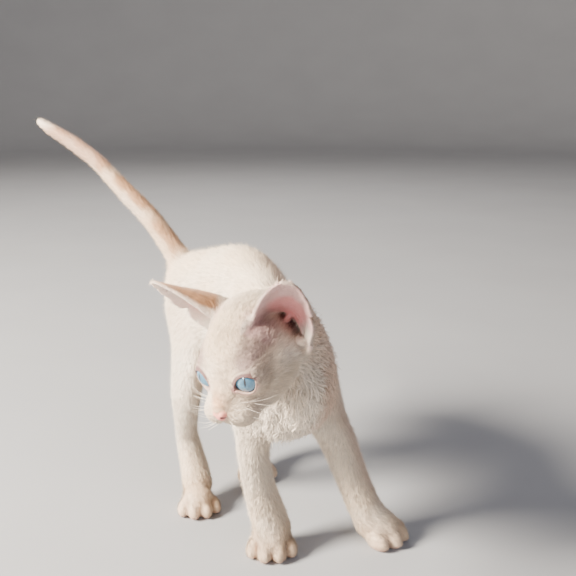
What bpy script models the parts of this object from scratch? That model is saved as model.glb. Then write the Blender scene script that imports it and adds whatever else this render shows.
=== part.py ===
"""A devon rex kitten, life size, standing still on four paws with its head turned to its right and down and its tail up.

Metres, +Z up. The kitten faces -Y and its left side is +X. The form is one soft joining of ellipsoids and limbs
of changing width; the meshes start as plain spheres and lofted limbs, are joined, and settle onto that form
before they are cut into parts. Parts meet with a gap of GAP.
"""
import bpy
import bmesh
import numpy as np
from mathutils import Matrix, Vector

for old in list(bpy.data.objects):
    bpy.data.objects.remove(old, do_unlink=True)

MM = 0.001
GAP = 0.00032            # between neighbouring parts

# ------------------------------------------------------------------ maths


def unit(v):
    v = np.asarray(v, float)
    return v / np.linalg.norm(v)


def turn(axis, degrees):
    a = np.radians(degrees)
    c, s = np.cos(a), np.sin(a)
    return {"x": np.array([[1, 0, 0], [0, c, -s], [0, s, c]]), "y": np.array([[c, 0, s], [0, 1, 0], [-s, 0, c]]),
            "z": np.array([[c, -s, 0], [s, c, 0], [0, 0, 1.0]])}[axis]


def smin(a, b, k):
    """The smaller of two distances, with a fillet about k wide."""
    h = np.maximum(k - np.abs(a - b), 0) / k
    return np.minimum(a, b) - h * h * k * 0.25


def near(q, p, margin):
    """q(p) within margin of q's box. Further out, the distance to the box will do."""
    out = np.linalg.norm(np.maximum(np.maximum(q.lo - p, p - q.hi), 0), axis=1)
    d = out + margin * 0.5
    inside = out < margin
    if inside.any():
        d[inside] = q(p[inside])
    return d


# ------------------------------------------------------------------ what the form is made of


class Ball:
    """An ellipsoid: its middle, three radii, and the axes they lie along."""

    def __init__(self, c, r, m=np.eye(3)):
        self.c, self.r, self.m = np.asarray(c, float), np.asarray(r, float) * np.ones(3), np.asarray(m, float)
        e = np.abs(self.m) @ self.r
        self.lo, self.hi = self.c - e, self.c + e

    def __call__(self, p):
        q = (p - self.c) @ self.m
        k0 = np.linalg.norm(q / self.r, axis=1)
        k1 = np.linalg.norm(q / self.r**2, axis=1)
        return k0 * (k0 - 1) / np.maximum(k1, 1e-9)

    def shape(self, bm):
        m = Matrix([list(self.m[i] * self.r) + [self.c[i]] for i in range(3)] + [[0, 0, 0, 1]])
        new = bmesh.ops.create_icosphere(bm, subdivisions=3, radius=1.0, matrix=m)["verts"]
        if np.linalg.det(self.m) < 0:
            bmesh.ops.reverse_faces(bm, faces=list({f for v in new for f in v.link_faces}))


class Tube:
    """A limb: rows of (x, y, z, half-width across, half-depth), joined smoothly. side is the direction of the half-width."""

    def __init__(self, rows, side=(1, 0, 0)):
        r = np.asarray(rows, float)
        self.p = np.vstack([2 * r[0] - r[1], r, 2 * r[-1] - r[-2]])
        self.p[:, 3:] = np.maximum(self.p[:, 3:], r[:, 3:].min() * 0.5)
        self.spans = len(r) - 1
        self.side = unit(side)
        self.t = np.linspace(0, self.spans, 5 * self.spans + 1)
        s = self.at(self.t)[0]
        self.c = s[:, :3]
        m = s[:, 3:].max()
        self.lo, self.hi = self.c.min(0) - m, self.c.max(0) + m

    def at(self, t):
        """The row at t, how it changes there, and how that changes."""
        i = np.minimum(t.astype(int), self.spans - 1)
        t = (t - i)[:, None]
        a, b, c, d = (self.p[i + k] for k in range(4))
        e, f, g = c - a, 2 * a - 5 * b + 4 * c - d, 3 * b - a - 3 * c + d
        return 0.5 * (2 * b + e * t + f * t**2 + g * t**3), 0.5 * (e + 2 * f * t + 3 * g * t**2), f + 3 * g * t

    def axes(self, g):
        w = g[:, :3] / np.linalg.norm(g[:, :3], axis=1)[:, None]
        u = self.side - w * (w @ self.side)[:, None]
        u /= np.linalg.norm(u, axis=1)[:, None]
        return u, np.cross(w, u), w

    def __call__(self, p):
        t = self.t[np.argmin((self.c**2).sum(1)[None] - 2 * p @ self.c.T, axis=1)]
        for _ in range(5):
            s, g, h = self.at(t)
            q, g2 = p - s[:, :3], (g[:, :3] ** 2).sum(1)
            step = (q * g[:, :3]).sum(1) / np.maximum(g2 - (q * h[:, :3]).sum(1), 0.3 * g2)
            t = np.clip(t + np.clip(step, -0.2, 0.2), 0, self.spans)
        s, g, h = self.at(t)
        a, b, m = s[:, 3], s[:, 4], np.minimum(s[:, 3], s[:, 4])
        u, v, w = self.axes(g)
        q = p - s[:, :3]
        x, y, z = (q * u).sum(1) / a, (q * v).sum(1) / b, (q * w).sum(1) / m
        k0 = np.sqrt(x * x + y * y + z * z)
        k1 = np.sqrt((x / a) ** 2 + (y / b) ** 2 + (z / m) ** 2)
        return k0 * (k0 - 1) / np.maximum(k1, 1e-9)

    def shape(self, bm, around=20):
        """Rings lofted along the limb, with a dome of smaller rings at each end."""
        s, g, _ = self.at(self.t)
        u, v, w = self.axes(g)
        dome = np.radians([80, 60, 40, 20])
        rings = []
        for i in range(len(s)):
            rings.append((s[i, :3], s[i, 3], s[i, 4], u[i], v[i]))
        m0, m1 = min(s[0, 3:]), min(s[-1, 3:])
        first = [(s[0, :3] - w[0] * m0 * np.sin(a), s[0, 3] * np.cos(a), s[0, 4] * np.cos(a), u[0], v[0]) for a in dome]
        last = [(s[-1, :3] + w[-1] * m1 * np.sin(a), s[-1, 3] * np.cos(a), s[-1, 4] * np.cos(a), u[-1], v[-1]) for a in dome[::-1]]
        loops = []
        for c, a, b, x, y in first + rings + last:
            loops.append([bm.verts.new(c + x * a * np.cos(k) + y * b * np.sin(k)) for k in np.arange(around) * 2 * np.pi / around])
        for p, q in zip(loops, loops[1:]):
            for i in range(around):
                bm.faces.new((p[i], p[(i + 1) % around], q[(i + 1) % around], q[i]))
        bm.faces.new(loops[0][::-1])
        bm.faces.new(loops[-1])


class Group:
    """Shapes joined one after another, each with a fillet: (shape, width of its fillet)."""

    def __init__(self, parts, k):
        self.parts = [q if isinstance(q, tuple) else (q, k) for q in parts]
        self.lo = np.min([q.lo for q, _ in self.parts], axis=0)
        self.hi = np.max([q.hi for q, _ in self.parts], axis=0)

    def __call__(self, p):
        d = None
        for q, k in self.parts:
            e = near(q, p, 0.012)
            d = e if d is None else smin(d, e, k)
        return d

    def shape(self, bm):
        for q, _ in self.parts:
            q.shape(bm)


# ------------------------------------------------------------------ head, in millimetres of its own frame: x left, y forward, z up

HEAD_AT = np.array([-0.037, -0.030, 0.132])
HEAD_YAW, HEAD_PITCH, HEAD_ROLL = 61.2, 27.1, -7.8   # degrees to its right, down, and over to its left
HEAD_SIZE = 0.93


def head_axes(yaw, pitch, roll):
    y, p, r = np.radians([yaw, pitch, roll])
    f0, l0, u0 = np.array([-np.sin(y), -np.cos(y), 0]), np.array([np.cos(y), -np.sin(y), 0]), np.array([0, 0, 1.0])
    f, u = f0 * np.cos(p) - u0 * np.sin(p), u0 * np.cos(p) + f0 * np.sin(p)
    l, u = l0 * np.cos(r) - u * np.sin(r), u * np.cos(r) + l0 * np.sin(r)
    return np.stack([l, f, u], 1)


HM = head_axes(HEAD_YAW, HEAD_PITCH, HEAD_ROLL)
UNIT = HEAD_SIZE * MM


def on_head(x, y, z):
    return HEAD_AT + HM @ (np.array([x, y, z], float) * UNIT)


def hball(c, r, m=np.eye(3)):
    return Ball(on_head(*c), np.asarray(r, float) * UNIT, HM @ m)


def htube(rows):
    return Tube([tuple(on_head(*q[:3])) + (q[3] * UNIT, q[4] * UNIT) for q in rows], HM[:, 0])


EYE_R = 8.5
EYE_AT = np.array([11.2, 19.9, -1.9])
EYE_OUT, EYE_TILT = 19.0, 9.0       # degrees the eye looks outward, and its outer corner is lifted


def head_form():
    s = [hball((0, -4.5, 3.2), (23.8, 24.5, 21.3)), (hball((0, 9, 5.0), (17.0, 19.0, 16.0)), .008)]
    for k in (1, -1):
        s += [(hball((15.0 * k, 5.0, -8.5), (11.0, 15.0, 13.0)), .008),                                    # cheek
              (hball((10.5 * k, 15.0, -13.5), (8.5, 12.5, 9.0)), .008),                                    # cheek's lower front
              (hball((10.4 * k, 14.8, 5.0), (7.6, 7.6, 5.6)), .006),                                       # brow
              (hball((EYE_AT[0] * k + .2 * k, EYE_AT[1] - .6, EYE_AT[2] + .1), (9.6, 9.8, 9.4)), .004)]    # lids
    s += [(hball((0, 11, -14), (15.5, 18.5, 10.5)), .008),                                                 # jaw
          (htube([(0, 15, 2, 6.8, 7.5), (0, 24, -3.2, 5.9, 7.2), (0, 31, -8.0, 5.9, 6.2), (0, 35.8, -11.2, 4.8, 4.5)]), .007)]
    for k in (1, -1):
        s += [(hball((6.9 * k, 29.4, -15.8), (8.4, 9.1, 7.4)), .004)]                                      # whisker pad
    return s + [(hball((0, 27.2, -21.8), (6.9, 6.6, 4.6)), .003)]                                          # chin


NOSE = hball((0, 38.3, -11.1), (4.0, 2.7, 3.1))

EAR_ROOT, EAR_OPEN = (25.4, -0.8, 12.8), (0.30, 1.03, -0.21)
EAR_TIPS, EAR_CUPS = {1: (42.0, 1.7, 39.6), -1: (39.2, 5.4, 40.1)}, {1: 0.040, -1: 0.050}      # the right ear is turned further forward and cupped more
EAR_LONG, EAR_LOW, EAR_HALF, EAR_THICK = 34.8, 17.0, 15.8, 1.4


class Ear:
    """A cupped shell. Its own frame: x across the opening, y from root to tip, z out of the opening."""

    def __init__(self, side):
        flip = np.array([side, 1, 1])
        root, tip, out = (np.array(q, float) * flip for q in (EAR_ROOT, EAR_TIPS[side], EAR_OPEN))
        self.cup = EAR_CUPS[side]
        y = unit(tip - root)
        z = unit(out - y * (out @ y))
        self.side, self.c, self.m = side, on_head(*root), HM @ np.stack([np.cross(y, z) * side, y, z], 1)

    def half(self, y):
        t = np.clip(y / EAR_LONG, -0.6, 1.0)
        return EAR_HALF * np.where(t < 0, 1.0 - 0.25 * t * t, np.sqrt(np.clip(1 - np.clip(t, 0, 1) ** 1.9, 0, 1)) * (1 - 0.12 * t))

    def sheet(self, x, y):
        c = self.cup * (1.25 - 0.55 * np.clip(y / EAR_LONG, -0.5, 1.1))
        return c * x * x - c * self.half(y) ** 2 * 0.9

    def place(self, x, y, z):
        return self.c + self.m @ (np.array([x, y, z]) * UNIT)

    def shape(self, bm, rows=9, columns=8):
        """Two skins, inside and out, closed round the rim."""
        skins = []
        for face in (1, -1):
            skin = []
            for i in range(rows + 1):
                y = -EAR_LOW + (EAR_LONG * 0.992 + EAR_LOW) * np.sin(i / rows * np.pi / 2) ** 1.15
                row = []
                for j in range(columns + 1):
                    v = np.sin((j / columns - 0.5) * np.pi) * 0.35 + (j / columns * 2 - 1) * 0.65
                    x = v * float(self.half(np.array(y)))
                    c = self.cup * (1.25 - 0.55 * min(max(y / EAR_LONG, -0.5), 1.1))
                    lean = np.array([-2 * c * x, 0, 1.0]) / np.hypot(1, 2 * c * x)
                    thick = EAR_THICK * (1.35 - 0.5 * min(max(y / EAR_LONG, 0), 1)) * 0.8 * (0.5 + 0.5 * np.sqrt(max(1 - v ** 4, 0)))
                    q = np.array([x, y, float(self.sheet(np.array(x), np.array(y)))]) + lean * thick * face
                    row.append(bm.verts.new(self.place(*q)))
                skin.append(row)
            skins.append(skin)
        front, back = skins
        for skin, order in ((front, 1), (back, -1)):
            for i in range(rows):
                for j in range(columns):
                    bm.faces.new([skin[i][j], skin[i][j + 1], skin[i + 1][j + 1], skin[i + 1][j]][::order])
        for i in range(rows):
            for j, order in ((0, -1), (columns, 1)):
                bm.faces.new([front[i][j], back[i][j], back[i + 1][j], front[i + 1][j]][::order])
        for j in range(columns):
            for i, order in ((0, 1), (rows, -1)):
                bm.faces.new([front[i][j], back[i][j], back[i][j + 1], front[i][j + 1]][::order])
        bmesh.ops.recalc_face_normals(bm, faces=bm.faces)


# ------------------------------------------------------------------ trunk, limbs and tail, in metres

TRUNK = [  # y, z, half-width, half-height, x
    (-.020, .0975, .011, .016, -.0015), (-.012, .0995, .0175, .028, -.0022), (.004, .1028, .0192, .0358, -.0048),
    (.022, .1057, .0197, .0366, -.0040), (.045, .1135, .0232, .0389, .0006), (.070, .1185, .0252, .0385, .0043),
    (.095, .1170, .0246, .0346, .0040), (.118, .1153, .0220, .0307, .0028), (.138, .1152, .0175, .0240, .0004), (.151, .1165, .0115, .0150, -.0018)]
NECK = [(-.001, .022, .110, .018, .026), (-.006, .004, .120, .0180, .0230), (-.013, -.012, .130, .0190, .0205), (-.028, -.024, .133, .0190, .0190)]
TAIL = [(.0004, .128, .1215, .0120, .0140), (-.0010, .1420, .1256, .0094, .0102), (-.0033, .1510, .1345, .0078, .0078), (-.0082, .1600, .1454, .0070, .0070),
        (-.0150, .1675, .1583, .0066, .0066), (-.0241, .1775, .1710, .0062, .0062), (-.0333, .1890, .1836, .0054, .0054), (-.0424, .2010, .1962, .0044, .0044),
        (-.0549, .2170, .2084, .0036, .0036), (-.0630, .2265, .2146, .0030, .0030), (-.0690, .2350, .2200, .0022, .0022)]
FORE_RIGHT = [(-.0170, .012, .100, .0105, .0190), (-.0168, .014, .082, .0105, .0150), (-.0164, .0140, .068, .0094, .0110), (-.0166, .0125, .0560, .0090, .0091),
              (-.0153, .0118, .0450, .0092, .0088), (-.0130, .0110, .0330, .0093, .0085), (-.0104, .0085, .0215, .0100, .0084), (-.0092, .0050, .0130, .0106, .0085)]
FORE_LEFT = [(.0120, .008, .100, .0100, .0180), (.0210, .010, .084, .0122, .0155), (.0264, .009, .069, .0117, .0118), (.0318, .006, .0565, .0109, .0104),
             (.0358, .0035, .0440, .0103, .0096), (.0397, .0005, .0316, .0096, .0088), (.0427, -.0040, .0205, .0094, .0086), (.0447, -.0090, .0130, .0097, .0086)]
HIND_RIGHT = [(-.0105, .112, .113, .0130, .0240), (-.0160, .100, .100, .0117, .0225), (-.0237, .086, .082, .0104, .0165), (-.0281, .081, .067, .0090, .0120),
              (-.0269, .0855, .0510, .0075, .0092), (-.0246, .0910, .0400, .0073, .0082), (-.0240, .0890, .0320, .0079, .0073), (-.0238, .0820, .0215, .0086, .0070),
              (-.0250, .0740, .0130, .0094, .0070)]
HIND_LEFT = [(.0175, .114, .113, .0130, .0240), (.0212, .104, .100, .0117, .0225), (.0258, .094, .082, .0104, .0165), (.0290, .092, .067, .0088, .0118),
             (.0276, .0990, .0510, .0074, .0090), (.0260, .1100, .0400, .0072, .0080), (.0250, .1100, .0320, .0076, .0071), (.0230, .1045, .0215, .0083, .0069),
             (.0216, .0970, .0130, .0091, .0069)]


def paw(at, toward, size, spread):
    """Four toes round a pad. at: where the toes end, toward: degrees they point to the kitten's left of ahead."""
    a = np.radians(toward)
    f, l, up = np.array([np.sin(a), -np.cos(a), 0]), np.array([np.cos(a), np.sin(a), 0]), np.array([0, 0, 1.0])
    o = np.array([at[0], at[1], 0.0])

    def lump(x, y, z, r, yaw=0, pitch=0):
        m = np.stack([l, f, up], 1) @ turn("z", yaw) @ turn("x", pitch)
        return Ball(o + (l * x + f * y + up * z) * MM * size, np.array(r) * MM * size, m)

    s = [(lump(0, -15.5, 5.9, (8.6, 9.0, 6.6)), .004), (lump(0, -11.5, 8.8, (7.6, 8.0, 5.4), 0, -22), .004)]
    for x, y, yaw, r in ((-8.2, -10.6, -16, 3.7), (-3.1, -6.4, -5, 4.1), (3.1, -6.4, 5, 4.1), (8.2, -10.6, 16, 3.7)):
        s.append((lump(x * spread, y, 3.8, (r, 6.6, r + 0.7), -yaw, -14), .0012))
    return s


def body_form():
    core = Group([Tube([(x, y, z, a, b) for y, z, a, b, x in TRUNK]), Tube(NECK, (0.9, -0.4, 0))], .014)
    masses = [Ball((-.0150, .014, .106), (.0100, .0220, .0300), turn("x", 14)), Ball((.0100, .010, .096), (.0109, .0205, .0262), turn("x", 14)),
              Ball((-.0025, -.0005, .1010), (.0195, .0230, .0305), turn("x", 12)), Ball((-.0010, .0020, .0900), (.0172, .0190, .0190)),
              Ball((.0016, .1305, .1132), (.0162, .0215, .0236)),
              Ball((-.0069, .106, .108), (.0143, .0250, .0285), turn("x", -20)), Ball((.0145, .108, .108), (.0148, .0250, .0285), turn("x", -20))]
    return Group([core] + masses, .014)


BODY = body_form()
LIMBS = [Group([Tube(FORE_RIGHT, (.95, .1, 0))] + paw((-.0168, -.0100), -25, 1.12, 1.03), .006),
         Group([Tube(FORE_LEFT, (.95, .1, .3))] + paw((.0572, -.0258), 32, 1.15, 1.10), .006),
         Group([Tube(HIND_RIGHT)] + paw((-.0318, .0516), -14, 1.05, 1.03), .006),
         Group([Tube(HIND_LEFT)] + paw((.0194, .0756), -6, 1.07, 1.02), .006)]
TAIL_FORM = Tube(TAIL)
HEAD = Group(head_form(), .008)


def flesh(p):
    """About how far each point lies outside the kitten, without its ears."""
    d = near(BODY, p, .02)
    for g in LIMBS:
        d = smin(d, near(g, p, .02), .010)
    d = smin(d, near(TAIL_FORM, p, .02), .007)
    return smin(d, near(HEAD, p, .02), .006)


def settled(p, rounds, cap=.0015):
    """Points moved straight onto the form's surface."""
    e = 2e-5
    for _ in range(rounds):
        d = flesh(p)
        g = np.stack([(flesh(p + np.eye(3)[i] * e) - d) / e for i in range(3)], 1)
        step = g * (d / np.maximum((g * g).sum(1), 0.05))[:, None]
        size = np.linalg.norm(step, axis=1)
        p = p - step * np.minimum(1, cap / np.maximum(size, 1e-12))[:, None]
    return p


# ------------------------------------------------------------------ working with objects


def new_object(name, bm):
    mesh = bpy.data.meshes.new(name)
    bm.to_mesh(mesh)
    bm.free()
    obj = bpy.data.objects.new(name, mesh)
    bpy.context.scene.collection.objects.link(obj)
    return obj


def drop(*objects):
    for obj in objects:
        bpy.data.objects.remove(obj, do_unlink=True)


def apply(obj, kind, **settings):
    """One modifier, made real."""
    mod = obj.modifiers.new(kind, kind)
    for key, value in settings.items():
        setattr(mod, key, value)
    graph = bpy.context.evaluated_depsgraph_get()
    mesh = bpy.data.meshes.new_from_object(obj.evaluated_get(graph))
    obj.modifiers.clear()
    obj.data = mesh
    return obj


def points(obj):
    p = np.empty(len(obj.data.vertices) * 3)
    obj.data.vertices.foreach_get("co", p)
    return p.reshape(-1, 3)


def set_points(obj, p):
    obj.data.vertices.foreach_set("co", np.ascontiguousarray(p).ravel())
    obj.data.update()


def soften(obj, factor, times):
    bm = bmesh.new()
    bm.from_mesh(obj.data)
    for _ in range(times):
        bmesh.ops.smooth_vert(bm, verts=bm.verts, factor=factor, use_axis_x=True, use_axis_y=True, use_axis_z=True)
    bm.to_mesh(obj.data)
    bm.free()


def tidy(obj, weld=2e-5):
    """Slivers out, and only the largest closed piece kept."""
    bm = bmesh.new()
    bm.from_mesh(obj.data)
    bmesh.ops.remove_doubles(bm, verts=bm.verts, dist=weld)
    bmesh.ops.dissolve_degenerate(bm, dist=weld, edges=bm.edges)
    bmesh.ops.triangulate(bm, faces=bm.faces)
    seen, best = set(), []
    for v in bm.verts:
        if v in seen:
            continue
        piece, stack = [], [v]
        seen.add(v)
        while stack:
            q = stack.pop()
            piece.append(q)
            for e in q.link_edges:
                o = e.other_vert(q)
                if o not in seen:
                    seen.add(o)
                    stack.append(o)
        if len(piece) > len(best):
            best = piece
    keep = set(best)
    bmesh.ops.delete(bm, geom=[v for v in bm.verts if v not in keep], context="VERTS")
    bmesh.ops.recalc_face_normals(bm, faces=bm.faces)
    bm.to_mesh(obj.data)
    bm.free()
    return obj


def copy(obj, name):
    new = bpy.data.objects.new(name, obj.data.copy())
    bpy.context.scene.collection.objects.link(new)
    return new


def box(lo, hi, m=np.eye(3), at=(0, 0, 0)):
    """A box from lo to hi in the axes m about at."""
    bm = bmesh.new()
    lo, hi = np.asarray(lo, float), np.asarray(hi, float)
    c, s = (lo + hi) / 2, hi - lo
    t = np.eye(4)
    t[:3, :3] = np.asarray(m) * s
    t[:3, 3] = np.asarray(m) @ c + at
    bmesh.ops.create_cube(bm, size=1.0, matrix=Matrix(t.tolist()))
    return new_object("cutter", bm)


def half_space(at, normal, side, gap=GAP):
    """A large block on one side of a plane, half a gap back from it."""
    n = unit(normal)
    a = unit(np.cross(n, (0.31, 0.52, 0.79)))
    m = np.stack([a, np.cross(n, a), n], 1)
    lo, hi = ((-.5, -.5, gap / 2), (.5, .5, .5)) if side > 0 else ((-.5, -.5, -.5), (.5, .5, -gap / 2))
    return box(lo, hi, m, at)


def boolean(obj, cutter, operation):
    apply(obj, "BOOLEAN", object=cutter, operation=operation, solver="EXACT")
    drop(cutter)
    return tidy(obj)


def split(obj, name, at, normal):
    """The part of obj beyond the plane becomes a new object; obj keeps the rest."""
    new = boolean(copy(obj, name), half_space(at, normal, 1), "INTERSECT")
    boolean(obj, half_space(at, normal, -1), "INTERSECT")
    return new


def form_mesh(name, groups, voxel, triangles):
    """Spheres and lofts joined, remeshed, settled on the form, and thinned out."""
    bm = bmesh.new()
    for g in groups:
        g.shape(bm)
    obj = new_object(name, bm)
    apply(obj, "REMESH", mode="VOXEL", voxel_size=voxel)
    for _ in range(3):
        set_points(obj, settled(points(obj), 3))
        soften(obj, 0.5, 2)
    set_points(obj, settled(points(obj), 3))
    apply(obj, "DECIMATE", decimate_type="COLLAPSE", ratio=triangles / (2.0 * len(obj.data.polygons)), use_collapse_triangulate=True)
    set_points(obj, settled(points(obj), 2, .0006))
    return tidy(obj)


def paint(obj, color, roughness):
    mat = bpy.data.materials.new(obj.name)
    mat.use_nodes = True
    shader = mat.node_tree.nodes["Principled BSDF"]
    shader.inputs["Base Color"].default_value = (*color, 1)
    shader.inputs["Roughness"].default_value = roughness
    obj.data.materials.clear()
    obj.data.materials.append(mat)


# ------------------------------------------------------------------ head with its eyes, nose and ears

NECK_AT, NECK_NORMAL = (-.0215, -.0180, .1335), (-.75, -.65, .08)     # between neck and head
CHEST_AT, CHEST_NORMAL = (-.0050, -.0010, .1250), (-.50, -.52, .69)   # between chest and neck

head = form_mesh("head", [HEAD, Tube(NECK, (0.9, -0.4, 0))], .0011, 1900)
boolean(head, half_space(NECK_AT, NECK_NORMAL, 1), "INTERSECT")


def grown(obj, by):
    """A copy a little larger all round."""
    new = copy(obj, "grown")
    n = np.empty(len(new.data.vertices) * 3)
    new.data.vertices.foreach_get("normal", n)
    set_points(new, points(new) + n.reshape(-1, 3) * by)
    return new


def eye_axes(k):
    a, tilt = np.radians(EYE_OUT) * k, np.radians(EYE_TILT) * k
    f = unit((np.sin(a), np.cos(a), 0.03))
    l = unit(np.cross(f, (0, 0, 1.0)))
    u = np.cross(l, f)
    return HM @ np.stack([l * np.cos(tilt) + u * np.sin(tilt), f, u * np.cos(tilt) - l * np.sin(tilt)], 1)


def lid_opening(k):
    """The almond between the lids, as a prism along the eye's axis."""
    m, c = eye_axes(k), on_head(EYE_AT[0] * k, EYE_AT[1], EYE_AT[2])
    ring = []
    n = 10
    for i in range(2 * n):
        t = i / n if i <= n else 2 - i / n
        up = i <= n
        z = 4.7 * np.sin(np.pi * t ** 1.05) ** 0.62 if up else -4.5 * np.sin(np.pi * t ** 0.9) ** 0.75
        if i in (0, n):
            z = 0.0
        ring.append(((2 * t - 1) * 6.0, z))
    bm = bmesh.new()
    near_end, far_end = ([bm.verts.new(c + m @ (np.array([x, y, z]) * UNIT)) for x, z in ring] for y in (2.0, 15.0))
    bm.faces.new(near_end)
    bm.faces.new(far_end[::-1])
    for i in range(2 * n):
        j = (i + 1) % (2 * n)
        bm.faces.new((near_end[j], near_end[i], far_end[i], far_end[j]))
    bmesh.ops.recalc_face_normals(bm, faces=bm.faces)
    return new_object("cutter", bm)


def sphere(name, c, r, m, subdivisions):
    bm = bmesh.new()
    Ball(c, r, m).shape(bm) if subdivisions == 3 else bmesh.ops.create_icosphere(
        bm, subdivisions=subdivisions, radius=1.0,
        matrix=Matrix([list(np.asarray(m)[i] * r) + [c[i]] for i in range(3)] + [[0, 0, 0, 1]]))
    bmesh.ops.recalc_face_normals(bm, faces=bm.faces)
    return new_object(name, bm)


ears = []
solid_head = grown(head, GAP * 1.1)
for k, name in ((1, "ear_left"), (-1, "ear_right")):
    bm = bmesh.new()
    Ear(k).shape(bm)
    ear = tidy(new_object(name, bm))
    boolean(ear, copy(solid_head, "cutter"), "DIFFERENCE")
    ears.append(ear)
drop(solid_head)

eyes = []
for k, name in ((1, "eye_left"), (-1, "eye_right")):
    c = on_head(EYE_AT[0] * k, EYE_AT[1], EYE_AT[2])
    boolean(head, lid_opening(k), "DIFFERENCE")
    boolean(head, sphere("cutter", c, np.ones(3) * (EYE_R * UNIT + GAP), np.eye(3), 3), "DIFFERENCE")
    eyes.append(sphere(name, c, np.ones(3) * EYE_R * UNIT, np.eye(3), 3))
boolean(head, sphere("cutter", NOSE.c, NOSE.r + GAP, HM, 2), "DIFFERENCE")
nose = sphere("nose", NOSE.c, NOSE.r, HM, 2)

# ------------------------------------------------------------------ body

body = form_mesh("body", [BODY, TAIL_FORM, hball((0, -4.5, 3.2), (20, 20, 20))] + LIMBS, .0021, 3000)
boolean(body, box((-.5, -.5, 0), (.5, .5, .5)), "INTERSECT")             # flat soles on the floor
boolean(body, half_space(NECK_AT, NECK_NORMAL, -1), "INTERSECT")
neck = split(body, "neck", CHEST_AT, CHEST_NORMAL)
boolean(ears[1], grown(neck, GAP), "DIFFERENCE")

tail = split(body, "tail_1", (-.0045, .1525, .1345), (-.25, .50, .83))
parts = [neck, tail]
for i, row in enumerate((4, 6, 7)):
    at, ahead = np.array(TAIL[row][:3]), np.array(TAIL[row + 1][:3])
    after = split(tail, "tail_%d" % (i + 2), at, ahead - at)
    parts.append(after)
    tail = after

LEG_BOXES = {  # the block each leg is cut out with
    "fore_right": ((-.070, -.060, -.01), (-.0075, .046, .076)), "fore_left": ((.0105, -.070, -.01), (.100, .046, .076)),
    "hind_right": ((-.070, .065, -.01), (-.0030, .150, .0785)), "hind_left": ((.0065, .065, -.01), (.070, .150, .0785))}
LEG_CUTS = {"fore_right": (.044, .0185), "fore_left": (.044, .0185), "hind_right": (.057, .0190), "hind_left": (.057, .0190)}
for name, (lo, hi) in LEG_BOXES.items():
    lower = boolean(copy(body, name + "_upper"), box(lo, hi), "INTERSECT")
    boolean(body, box(np.array(lo) - GAP, np.array(hi) + GAP), "DIFFERENCE")
    parts.append(lower)
    for step, z in zip(("_lower", "_paw"), LEG_CUTS[name]):
        after = split(lower, name + step, (0, 0, z), (0, 0, -1))
        parts.append(after)
        lower = after

rump = split(body, "rump", (0, .090, .1), (0, 1, 0))
belly = split(body, "belly", (0, .036, .1), (0, 1, 0))
body.name = "chest"
parts += [body, belly, rump, head, nose] + eyes + ears

COLOURS = {"head": (.86, .74, .62), "nose": (.80, .50, .44), "eye": (.47, .68, .82), "ear": (.83, .62, .54), "tail": (.84, .66, .52)}
every = np.concatenate([points(o) for o in parts])
low, high = every.min(0), every.max(0)
shift = np.array([-(low[0] + high[0]) / 2, -(low[1] + high[1]) / 2, -low[2]])   # brings the middle of the whole kitten's base to the origin
for obj in parts:
    set_points(obj, points(obj) + shift)
    colour = COLOURS.get(obj.name.split("_")[0], (.87, .78, .68))
    paint(obj, colour, .12 if obj.name.startswith("eye") else .85)

print("shift", shift, "size", high - low, "triangles", sum(len(o.data.polygons) for o in parts))
print({o.name: len(o.data.polygons) for o in parts})
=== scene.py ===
"""The kitten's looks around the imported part: one skin, its eyes, a coat of mesh tufts, whiskers, a pale floor and soft light. Built in the kitten's own frame, in metres, then moved to the part's."""

import bpy
import numpy as np
from mathutils import Matrix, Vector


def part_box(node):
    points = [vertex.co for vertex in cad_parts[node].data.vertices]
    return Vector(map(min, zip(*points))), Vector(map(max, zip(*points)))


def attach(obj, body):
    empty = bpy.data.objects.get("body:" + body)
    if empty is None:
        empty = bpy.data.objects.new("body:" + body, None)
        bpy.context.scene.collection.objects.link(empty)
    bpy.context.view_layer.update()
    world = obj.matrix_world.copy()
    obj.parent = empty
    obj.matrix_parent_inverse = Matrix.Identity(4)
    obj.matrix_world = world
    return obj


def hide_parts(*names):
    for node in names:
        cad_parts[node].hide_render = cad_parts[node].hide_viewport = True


MM = 0.001
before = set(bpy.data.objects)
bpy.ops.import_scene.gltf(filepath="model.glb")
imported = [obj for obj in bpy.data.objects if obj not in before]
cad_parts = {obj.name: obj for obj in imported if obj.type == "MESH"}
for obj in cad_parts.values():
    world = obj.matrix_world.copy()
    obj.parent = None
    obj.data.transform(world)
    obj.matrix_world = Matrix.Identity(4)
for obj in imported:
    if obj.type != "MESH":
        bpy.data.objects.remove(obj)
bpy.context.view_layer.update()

# ------------------------------------------------------------------ maths


def unit(v):
    v = np.asarray(v, float)
    return v / np.linalg.norm(v)


def turn(axis, degrees):
    a = np.radians(degrees)
    c, s = np.cos(a), np.sin(a)
    return {"x": np.array([[1, 0, 0], [0, c, -s], [0, s, c]]), "y": np.array([[c, 0, s], [0, 1, 0], [-s, 0, c]]),
            "z": np.array([[c, -s, 0], [s, c, 0], [0, 0, 1.0]])}[axis]


def smin(a, b, k):
    """The smaller of two distances, with a fillet about k wide."""
    h = np.maximum(k - np.abs(a - b), 0) / k
    return np.minimum(a, b) - h * h * k * 0.25


def near(q, p, margin):
    """q(p) within margin of q's box. Further out, the distance to the box will do."""
    out = np.linalg.norm(np.maximum(np.maximum(q.lo - p, p - q.hi), 0), axis=1)
    d = out + margin * 0.5
    inside = out < margin
    if inside.any():
        d[inside] = q(p[inside])
    return d


# ------------------------------------------------------------------ what the form is made of


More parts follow.
